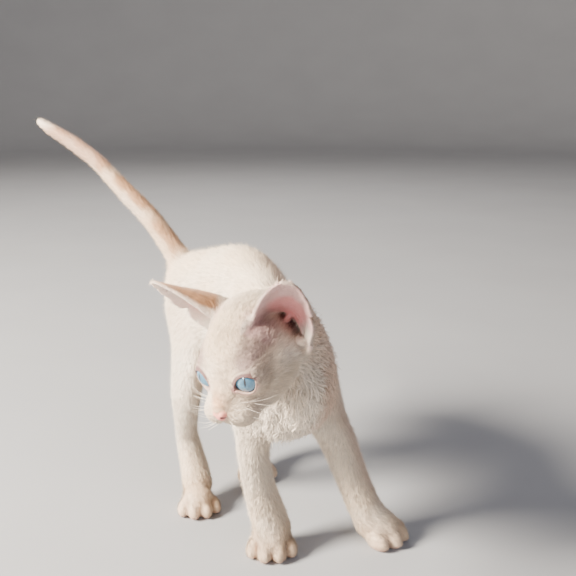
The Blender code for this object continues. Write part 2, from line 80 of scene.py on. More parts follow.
class Ball:
    """An ellipsoid: its middle, three radii, and the axes they lie along."""

    def __init__(self, c, r, m=np.eye(3)):
        self.c, self.r, self.m = np.asarray(c, float), np.asarray(r, float) * np.ones(3), np.asarray(m, float)
        e = np.abs(self.m) @ self.r
        self.lo, self.hi = self.c - e, self.c + e

    def __call__(self, p):
        q = (p - self.c) @ self.m
        k0 = np.linalg.norm(q / self.r, axis=1)
        k1 = np.linalg.norm(q / self.r**2, axis=1)
        return k0 * (k0 - 1) / np.maximum(k1, 1e-9)

class Tube:
    """A limb: rows of (x, y, z, half-width across, half-depth), joined smoothly. side is the direction of the half-width."""

    def __init__(self, rows, side=(1, 0, 0)):
        r = np.asarray(rows, float)
        self.p = np.vstack([2 * r[0] - r[1], r, 2 * r[-1] - r[-2]])
        self.p[:, 3:] = np.maximum(self.p[:, 3:], r[:, 3:].min() * 0.5)
        self.spans = len(r) - 1
        self.side = unit(side)
        self.t = np.linspace(0, self.spans, 5 * self.spans + 1)
        s = self.at(self.t)[0]
        self.c = s[:, :3]
        m = s[:, 3:].max()
        self.lo, self.hi = self.c.min(0) - m, self.c.max(0) + m

    def at(self, t):
        """The row at t, how it changes there, and how that changes."""
        i = np.minimum(t.astype(int), self.spans - 1)
        t = (t - i)[:, None]
        a, b, c, d = (self.p[i + k] for k in range(4))
        e, f, g = c - a, 2 * a - 5 * b + 4 * c - d, 3 * b - a - 3 * c + d
        return 0.5 * (2 * b + e * t + f * t**2 + g * t**3), 0.5 * (e + 2 * f * t + 3 * g * t**2), f + 3 * g * t

    def axes(self, g):
        w = g[:, :3] / np.linalg.norm(g[:, :3], axis=1)[:, None]
        u = self.side - w * (w @ self.side)[:, None]
        u /= np.linalg.norm(u, axis=1)[:, None]
        return u, np.cross(w, u), w

    def __call__(self, p):
        t = self.t[np.argmin((self.c**2).sum(1)[None] - 2 * p @ self.c.T, axis=1)]
        for _ in range(5):
            s, g, h = self.at(t)
            q, g2 = p - s[:, :3], (g[:, :3] ** 2).sum(1)
            step = (q * g[:, :3]).sum(1) / np.maximum(g2 - (q * h[:, :3]).sum(1), 0.3 * g2)
            t = np.clip(t + np.clip(step, -0.2, 0.2), 0, self.spans)
        s, g, h = self.at(t)
        a, b, m = s[:, 3], s[:, 4], np.minimum(s[:, 3], s[:, 4])
        u, v, w = self.axes(g)
        q = p - s[:, :3]
        x, y, z = (q * u).sum(1) / a, (q * v).sum(1) / b, (q * w).sum(1) / m
        k0 = np.sqrt(x * x + y * y + z * z)
        k1 = np.sqrt((x / a) ** 2 + (y / b) ** 2 + (z / m) ** 2)
        return k0 * (k0 - 1) / np.maximum(k1, 1e-9)

class Group:
    """Shapes joined one after another, each with a fillet: (shape, width of its fillet)."""

    def __init__(self, parts, k):
        self.parts = [q if isinstance(q, tuple) else (q, k) for q in parts]
        self.lo = np.min([q.lo for q, _ in self.parts], axis=0)
        self.hi = np.max([q.hi for q, _ in self.parts], axis=0)

    def __call__(self, p):
        d = None
        for q, k in self.parts:
            e = near(q, p, 0.012)
            d = e if d is None else smin(d, e, k)
        return d

# ------------------------------------------------------------------ head, in millimetres of its own frame: x left, y forward, z up

HEAD_AT = np.array([-0.037, -0.030, 0.132])
HEAD_YAW, HEAD_PITCH, HEAD_ROLL = 61.2, 27.1, -7.8   # degrees to its right, down, and over to its left
HEAD_SIZE = 0.93


def head_axes(yaw, pitch, roll):
    y, p, r = np.radians([yaw, pitch, roll])
    f0, l0, u0 = np.array([-np.sin(y), -np.cos(y), 0]), np.array([np.cos(y), -np.sin(y), 0]), np.array([0, 0, 1.0])
    f, u = f0 * np.cos(p) - u0 * np.sin(p), u0 * np.cos(p) + f0 * np.sin(p)
    l, u = l0 * np.cos(r) - u * np.sin(r), u * np.cos(r) + l0 * np.sin(r)
    return np.stack([l, f, u], 1)


HM = head_axes(HEAD_YAW, HEAD_PITCH, HEAD_ROLL)
UNIT = HEAD_SIZE * MM


def on_head(x, y, z):
    return HEAD_AT + HM @ (np.array([x, y, z], float) * UNIT)


def hball(c, r, m=np.eye(3)):
    return Ball(on_head(*c), np.asarray(r, float) * UNIT, HM @ m)


def htube(rows):
    return Tube([tuple(on_head(*q[:3])) + (q[3] * UNIT, q[4] * UNIT) for q in rows], HM[:, 0])


EYE_R = 8.5
EYE_AT = np.array([11.2, 19.9, -1.9])
EYE_OUT, EYE_TILT = 19.0, 9.0       # degrees the eye looks outward, and its outer corner is lifted


def head_form():
    s = [hball((0, -4.5, 3.2), (23.8, 24.5, 21.3)), (hball((0, 9, 5.0), (17.0, 19.0, 16.0)), .008)]
    for k in (1, -1):
        s += [(hball((15.0 * k, 5.0, -8.5), (11.0, 15.0, 13.0)), .008),                                    # cheek
              (hball((10.5 * k, 15.0, -13.5), (8.5, 12.5, 9.0)), .008),                                    # cheek's lower front
              (hball((10.4 * k, 14.8, 5.0), (7.6, 7.6, 5.6)), .006),                                       # brow
              (hball((EYE_AT[0] * k + .2 * k, EYE_AT[1] - .6, EYE_AT[2] + .1), (9.6, 9.8, 9.4)), .004)]    # lids
    s += [(hball((0, 11, -14), (15.5, 18.5, 10.5)), .008),                                                 # jaw
          (htube([(0, 15, 2, 6.8, 7.5), (0, 24, -3.2, 5.9, 7.2), (0, 31, -8.0, 5.9, 6.2), (0, 35.8, -11.2, 4.8, 4.5)]), .007)]
    for k in (1, -1):
        s += [(hball((6.9 * k, 29.4, -15.8), (8.4, 9.1, 7.4)), .004)]                                      # whisker pad
    return s + [(hball((0, 27.2, -21.8), (6.9, 6.6, 4.6)), .003)]                                          # chin


NOSE = hball((0, 38.3, -11.1), (4.0, 2.7, 3.1))

EAR_ROOT, EAR_OPEN = (25.4, -0.8, 12.8), (0.30, 1.03, -0.21)
EAR_TIPS, EAR_CUPS = {1: (42.0, 1.7, 39.6), -1: (39.2, 5.4, 40.1)}, {1: 0.040, -1: 0.050}      # the right ear is turned further forward and cupped more
EAR_LONG, EAR_LOW, EAR_HALF, EAR_THICK = 34.8, 17.0, 15.8, 1.4


class Ear:
    """A cupped shell. Its own frame: x across the opening, y from root to tip, z out of the opening."""

    def __init__(self, side):
        flip = np.array([side, 1, 1])
        root, tip, out = (np.array(q, float) * flip for q in (EAR_ROOT, EAR_TIPS[side], EAR_OPEN))
        self.cup = EAR_CUPS[side]
        y = unit(tip - root)
        z = unit(out - y * (out @ y))
        self.side, self.c, self.m = side, on_head(*root), HM @ np.stack([np.cross(y, z) * side, y, z], 1)

    def half(self, y):
        t = np.clip(y / EAR_LONG, -0.6, 1.0)
        return EAR_HALF * np.where(t < 0, 1.0 - 0.25 * t * t, np.sqrt(np.clip(1 - np.clip(t, 0, 1) ** 1.9, 0, 1)) * (1 - 0.12 * t))

    def sheet(self, x, y):
        c = self.cup * (1.25 - 0.55 * np.clip(y / EAR_LONG, -0.5, 1.1))
        return c * x * x - c * self.half(y) ** 2 * 0.9

    def place(self, x, y, z):
        return self.c + self.m @ (np.array([x, y, z]) * UNIT)

# ------------------------------------------------------------------ trunk, limbs and tail, in metres

TRUNK = [  # y, z, half-width, half-height, x
    (-.020, .0975, .011, .016, -.0015), (-.012, .0995, .0175, .028, -.0022), (.004, .1028, .0192, .0358, -.0048),
    (.022, .1057, .0197, .0366, -.0040), (.045, .1135, .0232, .0389, .0006), (.070, .1185, .0252, .0385, .0043),
    (.095, .1170, .0246, .0346, .0040), (.118, .1153, .0220, .0307, .0028), (.138, .1152, .0175, .0240, .0004), (.151, .1165, .0115, .0150, -.0018)]
NECK = [(-.001, .022, .110, .018, .026), (-.006, .004, .120, .0180, .0230), (-.013, -.012, .130, .0190, .0205), (-.028, -.024, .133, .0190, .0190)]
TAIL = [(.0004, .128, .1215, .0120, .0140), (-.0010, .1420, .1256, .0094, .0102), (-.0033, .1510, .1345, .0078, .0078), (-.0082, .1600, .1454, .0070, .0070),
        (-.0150, .1675, .1583, .0066, .0066), (-.0241, .1775, .1710, .0062, .0062), (-.0333, .1890, .1836, .0054, .0054), (-.0424, .2010, .1962, .0044, .0044),
        (-.0549, .2170, .2084, .0036, .0036), (-.0630, .2265, .2146, .0030, .0030), (-.0690, .2350, .2200, .0022, .0022)]
FORE_RIGHT = [(-.0170, .012, .100, .0105, .0190), (-.0168, .014, .082, .0105, .0150), (-.0164, .0140, .068, .0094, .0110), (-.0166, .0125, .0560, .0090, .0091),
              (-.0153, .0118, .0450, .0092, .0088), (-.0130, .0110, .0330, .0093, .0085), (-.0104, .0085, .0215, .0100, .0084), (-.0092, .0050, .0130, .0106, .0085)]
FORE_LEFT = [(.0120, .008, .100, .0100, .0180), (.0210, .010, .084, .0122, .0155), (.0264, .009, .069, .0117, .0118), (.0318, .006, .0565, .0109, .0104),
             (.0358, .0035, .0440, .0103, .0096), (.0397, .0005, .0316, .0096, .0088), (.0427, -.0040, .0205, .0094, .0086), (.0447, -.0090, .0130, .0097, .0086)]
HIND_RIGHT = [(-.0105, .112, .113, .0130, .0240), (-.0160, .100, .100, .0117, .0225), (-.0237, .086, .082, .0104, .0165), (-.0281, .081, .067, .0090, .0120),
              (-.0269, .0855, .0510, .0075, .0092), (-.0246, .0910, .0400, .0073, .0082), (-.0240, .0890, .0320, .0079, .0073), (-.0238, .0820, .0215, .0086, .0070),
              (-.0250, .0740, .0130, .0094, .0070)]
HIND_LEFT = [(.0175, .114, .113, .0130, .0240), (.0212, .104, .100, .0117, .0225), (.0258, .094, .082, .0104, .0165), (.0290, .092, .067, .0088, .0118),
             (.0276, .0990, .0510, .0074, .0090), (.0260, .1100, .0400, .0072, .0080), (.0250, .1100, .0320, .0076, .0071), (.0230, .1045, .0215, .0083, .0069),
             (.0216, .0970, .0130, .0091, .0069)]


def paw(at, toward, size, spread):
    """Four toes round a pad. at: where the toes end, toward: degrees they point to the kitten's left of ahead."""
    a = np.radians(toward)
    f, l, up = np.array([np.sin(a), -np.cos(a), 0]), np.array([np.cos(a), np.sin(a), 0]), np.array([0, 0, 1.0])
    o = np.array([at[0], at[1], 0.0])

    def lump(x, y, z, r, yaw=0, pitch=0):
        m = np.stack([l, f, up], 1) @ turn("z", yaw) @ turn("x", pitch)
        return Ball(o + (l * x + f * y + up * z) * MM * size, np.array(r) * MM * size, m)

    s = [(lump(0, -15.5, 5.9, (8.6, 9.0, 6.6)), .004), (lump(0, -11.5, 8.8, (7.6, 8.0, 5.4), 0, -22), .004)]
    for x, y, yaw, r in ((-8.2, -10.6, -16, 3.7), (-3.1, -6.4, -5, 4.1), (3.1, -6.4, 5, 4.1), (8.2, -10.6, 16, 3.7)):
        s.append((lump(x * spread, y, 3.8, (r, 6.6, r + 0.7), -yaw, -14), .0012))
    return s


def body_form():
    core = Group([Tube([(x, y, z, a, b) for y, z, a, b, x in TRUNK]), Tube(NECK, (0.9, -0.4, 0))], .014)
    masses = [Ball((-.0150, .014, .106), (.0100, .0220, .0300), turn("x", 14)), Ball((.0100, .010, .096), (.0109, .0205, .0262), turn("x", 14)),
              Ball((-.0025, -.0005, .1010), (.0195, .0230, .0305), turn("x", 12)), Ball((-.0010, .0020, .0900), (.0172, .0190, .0190)),
              Ball((.0016, .1305, .1132), (.0162, .0215, .0236)),
              Ball((-.0069, .106, .108), (.0143, .0250, .0285), turn("x", -20)), Ball((.0145, .108, .108), (.0148, .0250, .0285), turn("x", -20))]
    return Group([core] + masses, .014)


BODY = body_form()
LIMBS = [Group([Tube(FORE_RIGHT, (.95, .1, 0))] + paw((-.0168, -.0100), -25, 1.12, 1.03), .006),
         Group([Tube(FORE_LEFT, (.95, .1, .3))] + paw((.0572, -.0258), 32, 1.15, 1.10), .006),
         Group([Tube(HIND_RIGHT)] + paw((-.0318, .0516), -14, 1.05, 1.03), .006),
         Group([Tube(HIND_LEFT)] + paw((.0194, .0756), -6, 1.07, 1.02), .006)]
TAIL_FORM = Tube(TAIL)
HEAD = Group(head_form(), .008)


def flesh(p):
    """About how far each point lies outside the kitten, without its ears."""
    d = near(BODY, p, .02)
    for g in LIMBS:
        d = smin(d, near(g, p, .02), .010)
    d = smin(d, near(TAIL_FORM, p, .02), .007)
    return smin(d, near(HEAD, p, .02), .006)


# ------------------------------------------------------------------ the skin: the same form less the coat's depth, with lids, nose, mouth, ears and waves


def smax(a, b, k):
    return -smin(-a, -b, k)


def ramp(v, a, b):
    t = np.clip((v - a) / (b - a), 0, 1)
    return t * t * (3 - 2 * t)


def noise(p, wave, seed):
    """Smooth and without a grain, about -1 to 1."""
    r = np.random.default_rng(seed)
    out = np.zeros(len(p))
    for _ in range(6):
        d = unit(r.normal(size=3))
        out += np.sin(p @ d * (2 * np.pi / (wave * (0.75 + 0.6 * r.random()))) + r.random() * 6.28)
    return out / 2.6


def head_place(p):
    return (p - HEAD_AT) @ HM / UNIT


EYE_LIFT = .10


def eye_axes(k):
    """Outward, forward and up at an eye's opening, in the head's frame."""
    a, tilt = np.radians(EYE_OUT) * k, np.radians(EYE_TILT + 5)
    f = unit((np.sin(a), np.cos(a), EYE_LIFT))
    out = unit(np.cross(f, (0, 0, 1.0))) * k
    up = unit(np.cross(out, f)) * k
    return np.stack([out * np.cos(tilt) + up * np.sin(tilt), f, up * np.cos(tilt) - out * np.sin(tilt)], 1)


LID_W = 5.9


def lid_height(x, upper):
    t = np.clip((x + LID_W) / (2 * LID_W), .002, .998)
    return np.where(upper, 4.45 * np.sin(np.pi * t ** 1.12) ** .60, 5.0 * np.sin(np.pi * t ** 1.16) ** .64)


class Lids:
    """The opening between an eye's lids. at() gives how far a point is outside the almond, and how far from the eye's middle."""

    def __init__(self, k):
        self.k, self.c, self.m = k, on_head(EYE_AT[0] * k, EYE_AT[1], EYE_AT[2]), HM @ eye_axes(k)
        r = 12.5 * UNIT
        self.lo, self.hi = self.c - r, self.c + r

    def at(self, p):
        q = (p - self.c) @ self.m / UNIT
        x, z = q[:, 0], q[:, 2]
        if self.k < 0:
            x, z = x * .94 + .3, z * .84
        e = .05
        h = lid_height(x, z > 0)
        slope = (lid_height(x + e, z > 0) - lid_height(x - e, z > 0)) / (2 * e)
        a = (np.abs(z) - h) / np.sqrt(1 + slope ** 2)
        over = np.maximum(np.abs(x) - LID_W, 0)
        a = np.where(over > 0, np.hypot(over, z), a)
        corner = np.hypot((x + 5.9) * .62, (z + .5) * 1.3) - .5      # the inner corner's notch
        return np.minimum(a, corner), np.linalg.norm(q, axis=1), q

    def cut(self, d, p):
        """d with the opening cut in it, and a rounded rim along its edge."""
        inside = np.all((p > self.lo) & (p < self.hi), axis=1)
        if inside.any():
            a, r, q = self.at(p[inside])
            hole = np.maximum(a, 2.0 - q[:, 1])
            deep = .26 * ramp(q[:, 2], 1.0, 3.0) * ramp(np.abs(q[:, 0]), 6.5, 3.0) - .15
            fold = np.hypot(a - 2.2, (r - (EYE_R + 1.2)) * .7) - deep      # the crease over the upper lid
            e = smax(d[inside] / UNIT, -np.where(q[:, 1] > 2, fold, 9.), .8)
            e = smax(e, -hole, .25)
            rim = np.where(q[:, 1] > 1, np.hypot(a - .30, r - (EYE_R + .30)) - .50, 9.)
            d = d.copy()
            d[inside] = smin(e, rim, .35) * UNIT
        return d


class EarSkin:
    """The thin shell of an ear, with the folds at its root. Its own frame is the ear's, in millimetres of the head."""

    def __init__(self, k):
        self.e = Ear(k)
        r = EAR_LONG * 1.2 * UNIT
        self.lo, self.hi = self.e.c - r, self.e.c + r
        self.shell_lo, self.shell_hi = self.lo, self.hi

    def local(self, p):
        return (p - self.e.c) @ self.e.m / UNIT

    def shell(self, q):
        x, y, z = q.T
        c = self.e.cup * (1.25 - .55 * np.clip(y / EAR_LONG, -.5, 1.1))
        t = np.clip(y / EAR_LONG, 0, 1)
        ripple = .22 * np.sin(x * .9 + y * .35) * ramp(t, .1, .4) * ramp(t, 1.0, .6)
        d1 = np.abs(z - self.e.sheet(x, y) - ripple) / np.sqrt(1 + (2 * c * x) ** 2) - (1.05 - .45 * t)
        half = self.e.half(y) - .9 - .5 * np.exp(-((y - 8) / 2.0) ** 2 - np.where(x < 0, 0, 9)) * 3.2
        d2 = np.maximum((np.abs(x) - half) * .9, y - EAR_LONG + .8)
        return smax(smax(d1, d2, 1.4), -(y + EAR_LOW), 2.0)


EAR_SKINS = {k: EarSkin(k) for k in (1, -1)}
LIDS = {k: Lids(k) for k in (1, -1)}


def strand(rows, k=1):
    """A tube of even roundness through places of the head: (x, y, z, radius)."""
    return Tube([tuple(on_head(x * k, y, z)) + (r * UNIT, r * UNIT) for x, y, z, r in rows], HM[:, 0])


NOSE_PAD = Group([hball((2.2, 38.2, -11.1), (2.4, 2.3, 2.1)), (hball((-.8, 38.2, -11.1), (2.4, 2.3, 2.1)), .0010), (hball((.7, 38.4, -12.9), (2.0, 2.2, 2.2)), .0014)], .001)
NOSTRILS = [Group([hball((.7 + 2.25 * k, 40.4, -11.9), (.80, 1.0, .62)), (hball((.7 + 3.05 * k, 39.6, -12.5), (.75, 1.0, .38), turn("y", 25 * k)), .0003)], .0003) for k in (1, -1)]
LIP = strand([(.7, 40.8, -13.5, .30), (.5, 39.7, -15.5, .42), (.2, 37.4, -17.7, .5)])
MOUTHS = [strand([(0, 36.8, -17.6, .45), (3.4, 36.2, -20.3, .5), (7.6, 33.0, -22.3, .5), (11.4, 28.4, -22.0, .45), (14.4, 23.6, -19.6, .35)], k) for k in (1, -1)]
CHIN = hball((0, 27.6, -22.2), (6.2, 6.6, 4.4))
FACE_BITS = Group([NOSE_PAD] + NOSTRILS + [LIP] + MOUTHS, .001)


def face_coat(q):
    """How deep the head's coat is, in metres, at places of the head's frame."""
    x, y, z = np.abs(q[:, 0]), q[:, 1], q[:, 2]
    d = .0011 + .0008 * ramp(y, 8, -12) + .0004 * ramp(x, 12, 20) * ramp(z, 2, -8)
    d = d * (1 - .70 * ramp(y, 20, 31)) - .00025 * ramp(y, 24, 30) * ramp(z, -9, -14)
    eye = np.sqrt((x - EYE_AT[0] - 2) ** 2 + (y - EYE_AT[1] - 7) ** 2 + (z - EYE_AT[2] - .5) ** 2)
    return d * (.35 + .65 * ramp(eye, 5, 9.5))


EAR_FLOOR = [(-20, -14.5), (-8, -14.5), (-4.5, -12), (-1.5, -9.0), (1.0, -6.2), (3.5, -4.4), (7.6, -3.2), (14.3, -3.4), (19, -2)]


def ear_hollow(d, q, sheet):
    """The head opened in front of an ear's shell, down to the floor of the ear's cup, in millimetres of the head."""
    floor = np.interp(q[:, 0], [r[0] for r in EAR_FLOOR], [r[1] for r in EAR_FLOOR])
    hollow = smax(sheet - q[:, 2], (floor - q[:, 1]) * .85 + .12 * (q[:, 2] + 3), 4.0)
    return smax(d, -hollow, 3.0)


def ear_folds(e, q):
    """The folds and the canal at an ear's root, in millimetres of the head."""
    def ball(c, r):
        k = np.sqrt(((q[:, 0] - c[0]) / r[0]) ** 2 + ((q[:, 1] - c[1]) / r[1]) ** 2 + ((q[:, 2] - c[2]) / r[2]) ** 2)
        return (k - 1) * min(r)

    def cord(rows, r):
        out = None
        for a, b in zip(rows[:-1], rows[1:]):
            a, b = np.array(a, float), np.array(b, float)
            t = np.clip(((q - a) @ (b - a)) / ((b - a) @ (b - a)), 0, 1)
            d = np.linalg.norm(q - a - t[:, None] * (b - a), axis=1) - r
            out = d if out is None else smin(out, d, 1.2)
        return out

    e = smin(e, ball((-8.9, -14.6, -1.8), (3.2, 2.6, 2.6)), 2.0)
    e = smin(e, cord([(-14.2, -15.5, .2), (-11.5, -18.3, 2.2), (-8.0, -17.4, 4.0), (-5.0, -15.6, 5.6)], 1.35), 3.2)
    for c, r in (((1.9, -6.4, -9.8), (1.9, 2.2, 3.2)), ((-3.4, -9.8, -8.6), (2.6, 2.0, 3.0)), ((-6.6, -12.6, -8.6), (1.9, 2.6, 2.6))):
        e = smax(e, -ball(c, r), 1.0)
    e = smin(e, cord([(1.2, -8.6, -6.6), (-1.0, -6.6, -9.0), (-2.8, -3.4, -10.4)], 1.25), 1.2)
    e = smin(e, cord([(-3.2, .4, -10.8), (-6.6, -1.4, -8.6), (-8.8, -4.2, -6.4)], .85), 1.3)
    return smin(e, cord([(-4.6, -4.4, -9.9), (-7.8, -7.2, -7.4), (-9.6, -10.6, -5.4)], .8), 1.2)


class HeadSkin:
    """Head and ears with lids, nose, mouth and the ears' folds."""

    def __init__(self):
        self.lo = np.minimum(HEAD.lo, np.minimum(EAR_SKINS[1].e.c, EAR_SKINS[-1].e.c) - .038)
        self.hi = np.maximum(HEAD.hi, np.maximum(EAR_SKINS[1].e.c, EAR_SKINS[-1].e.c) + .038)

    def __call__(self, p):
        q = head_place(p)
        d = near(HEAD, p, .03) + face_coat(q)
        for k in (1, -1):
            d = smin(d, np.linalg.norm(p - LIDS[k].c, axis=1) - (EYE_R + .72) * UNIT, .0016)
        for k in (1, -1):
            ear = EAR_SKINS[k]
            m = np.all((p > ear.lo) & (p < ear.hi), axis=1)
            if m.any():
                u = ear.local(p[m])
                e = ear_hollow(d[m] / UNIT, u, ear.e.sheet(u[:, 0], u[:, 1]))
                d[m] = ear_folds(smin(e, ear.shell(u), 2.2), u) * UNIT
            d = LIDS[k].cut(d, p)
        m = np.all((p > FACE_BITS.lo - .002) & (p < FACE_BITS.hi + .002), axis=1)
        if m.any():
            e, u = d[m], p[m]
            e = smin(e, near(NOSE_PAD, u, .01), .0005)
            for hole in NOSTRILS:
                e = smax(e, -near(hole, u, .01), .0003)
            e = smax(e, -near(LIP, u, .01), .0006)
            for line in MOUTHS:
                e = smax(e, -near(line, u, .01), .0007)
            d[m] = e
        return d


HEAD_SKIN = HeadSkin()
FRONT = np.array([.35, -.75, -.55])


def chest_share(p):
    """1 on the chest, neck and shoulders, where the coat is longest and waved, 0 elsewhere."""
    return ramp(p[:, 1], .046, .012) * ramp(p[:, 2], .052, .078)


def waves(p):
    """Crests of the waved coat, in metres out of the skin."""
    m = chest_share(p)
    w = p + .0035 * np.stack([noise(p, .026, 11), noise(p, .024, 12), noise(p, .028, 13)], 1)
    s = np.sin((w @ unit((.25, .45, -1.0))) * 2 * np.pi / .0074 + 1.4 * noise(p, .017, 14))
    patch = ramp(noise(p, .021, 15), -.9, .5)
    return s * (.00042 * m * patch + .00006)


SKIN_LIMBS = [Group([(q, .0022 if k < .002 else k) for q, k in g.parts], .006) for g in LIMBS]      # the coat rounds the toes off


def limb_coat(p):
    return .00045 + .00095 * ramp(p[:, 2], .014, .045)


def skin(p):
    """About how far each point lies outside the skin."""
    d = near(BODY, p, .02) + .0019 + .0003 * chest_share(p) - waves(p)
    for g in SKIN_LIMBS:
        d = smin(d, near(g, p, .02) + limb_coat(p), .010)
    d = smin(d, near(TAIL_FORM, p, .02) + .0011 * ramp(p[:, 2], .209, .180), .007)
    return smin(d, near(HEAD_SKIN, p, .02), .006)


def gradient(f, p, e=2e-5):
    d = f(p)
    return d, np.stack([(f(p + np.eye(3)[i] * e) - d) / e for i in range(3)], 1)


def settle(f, p, rounds, cap=.0008):
    for _ in range(rounds):
        d, g = gradient(f, p)
        step = g * (d / np.maximum((g * g).sum(1), .08))[:, None]
        size = np.linalg.norm(step, axis=1)
        p = p - step * np.minimum(1, cap / np.maximum(size, 1e-12))[:, None]
    return p


def lines(a, b, fine_a, fine_b, fine, coarse, block):
    """Places of grid lines from a to b, close between fine_a and fine_b."""
    out, x = [a], a
    while x < b:
        away = max(fine_a - x, x - fine_b, 0)
        x += min(coarse, fine + away * .25)
        out.append(x)
    while (len(out) - 1) % block:
        out.append(out[-1] + coarse)
    return np.array(out)


def nets(f, axes, block=6):
    """A closed mesh of quads where f crosses zero, one point in each cell it passes through."""
    n = [len(a) for a in axes]
    value = np.ones(n, np.float32)
    corners = [a[::block] for a in axes]
    mid = [(c[1:] + c[:-1]) / 2 for c in corners]
    size = [c[1:] - c[:-1] for c in corners]
    g = np.stack(np.meshgrid(*mid, indexing="ij"), -1)
    reach = np.sqrt(sum(s ** 2 for s in np.meshgrid(*size, indexing="ij"))) / 2
    c = np.concatenate([f(q) for q in np.array_split(g.reshape(-1, 3), 40)]).reshape(g.shape[:3])
    big = np.repeat(np.repeat(np.repeat(c, block, 0), block, 1), block, 2)
    value[:-1, :-1, :-1] = np.where(big < 0, -1, 1)
    cells = np.argwhere(np.abs(c) < reach * 1.12 + .0012)
    o = np.stack(np.meshgrid(*[np.arange(block + 1)] * 3, indexing="ij"), -1).reshape(-1, 3)
    for some in np.array_split(cells, max(1, len(cells) // 500)):
        ijk = (some[:, None] * block + o[None]).reshape(-1, 3)
        ijk = np.unique(ijk[:, 0] * (n[1] * n[2]) + ijk[:, 1] * n[2] + ijk[:, 2])
        i, j, k = ijk // (n[1] * n[2]), ijk // n[2] % n[1], ijk % n[2]
        value[i, j, k] = f(np.stack([axes[0][i], axes[1][j], axes[2][k]], 1))
    s = value < 0
    some, every = np.zeros([m - 1 for m in n], bool), np.ones([m - 1 for m in n], bool)
    for a in (0, 1):
        for b in (0, 1):
            for c in (0, 1):
                q = s[a:n[0] - 1 + a, b:n[1] - 1 + b, c:n[2] - 1 + c]
                some |= q
                every &= q
    act = some & ~every
    cells = np.argwhere(act)
    index = np.full(act.shape, -1)
    index[act] = np.arange(len(cells))
    p, count = np.zeros((len(cells), 3)), np.zeros(len(cells))
    for a in range(3):
        b, c = [i for i in range(3) if i != a]
        for u in (0, 1):
            for v in (0, 1):
                p0 = cells.copy()
                p0[:, b] += u
                p0[:, c] += v
                p1 = p0.copy()
                p1[:, a] += 1
                v0, v1 = value[tuple(p0.T)], value[tuple(p1.T)]
                m = (v0 < 0) != (v1 < 0)
                x = np.stack([axes[i][p0[m, i]] for i in range(3)], 1)
                x[:, a] += (axes[a][p1[m, a]] - x[:, a]) * (v0[m] / (v0[m] - v1[m]))
                p[m] += x
                count[m] += 1
    p /= count[:, None]
    quads = []
    for a in range(3):
        b, c = (a + 1) % 3, (a + 2) % 3
        first, second = [slice(None)] * 3, [slice(None)] * 3
        first[a], second[a] = slice(0, -1), slice(1, None)
        e = np.argwhere(s[tuple(first)] != s[tuple(second)])
        e = e[(e[:, b] > 0) & (e[:, c] > 0) & (e[:, b] < n[b] - 1) & (e[:, c] < n[c] - 1)]
        db, dc = np.eye(3, dtype=int)[b], np.eye(3, dtype=int)[c]
        q = np.stack([index[tuple((e - x).T)] for x in (db + dc, dc, 0 * db, db)], 1)
        out = s[e[:, 0], e[:, 1], e[:, 2]]
        q[~out] = q[~out][:, ::-1]
        quads.append(q)
    return p, np.concatenate(quads)


def triangles(p, quads):
    """Each quad cut along its shorter diagonal."""
    a, b, c, d = quads.T
    short = np.linalg.norm(p[a] - p[c], axis=1) < np.linalg.norm(p[b] - p[d], axis=1)
    one = np.where(short[:, None], np.stack([a, b, c], 1), np.stack([a, b, d], 1))
    two = np.where(short[:, None], np.stack([a, c, d], 1), np.stack([b, c, d], 1))
    return np.concatenate([one, two])


def evened(p, tri, share=.5, only=None):
    """Points moved part of the way to the middle of their neighbours."""
    e = np.concatenate([tri[:, [0, 1]], tri[:, [1, 2]], tri[:, [2, 0]]])
    total, count = np.zeros_like(p), np.bincount(e[:, 0], minlength=len(p))
    for i in range(3):
        total[:, i] = np.bincount(e[:, 0], weights=p[e[:, 1], i], minlength=len(p))
    new = p + (total / np.maximum(count, 1)[:, None] - p) * share
    return new if only is None else np.where(only[:, None], new, p)


def finer(p, tri, chosen):
    """The chosen triangles cut in four, and their neighbours to suit."""
    e = np.sort(np.concatenate([tri[:, [0, 1]], tri[:, [1, 2]], tri[:, [2, 0]]]), axis=1)
    key, back = np.unique(e[:, 0] * len(p) + e[:, 1], return_inverse=True)
    back = back.reshape(3, -1).T
    cut = np.zeros(len(key), bool)
    cut[back[chosen].ravel()] = True
    new = np.full(len(key), -1)
    new[cut] = len(p) + np.arange(cut.sum())
    p = np.concatenate([p, (p[key[cut] // len(p)] + p[key[cut] % len(p)]) / 2])
    m, n = new[back], cut[back].sum(1)
    out = [tri[n == 0]]
    t, q = tri[n == 3], m[n == 3]
    out += [np.stack([t[:, 0], q[:, 0], q[:, 2]], 1), np.stack([q[:, 0], t[:, 1], q[:, 1]], 1), np.stack([q[:, 2], q[:, 1], t[:, 2]], 1), q]
    for k in range(3):      # one side cut
        s = (n == 1) & (m[:, k] >= 0)
        t, q = np.roll(tri[s], -k, axis=1), m[s, k]
        out += [np.stack([t[:, 0], q, t[:, 2]], 1), np.stack([q, t[:, 1], t[:, 2]], 1)]
        s = (n == 2) & (m[:, k] < 0)      # all but one side cut
        t, q = np.roll(tri[s], -k, axis=1), np.roll(m[s], -k, axis=1)
        out += [np.stack([q[:, 1], t[:, 2], q[:, 2]], 1), np.stack([t[:, 0], t[:, 1], q[:, 1]], 1), np.stack([t[:, 0], q[:, 1], q[:, 2]], 1)]
    return p, np.concatenate(out)


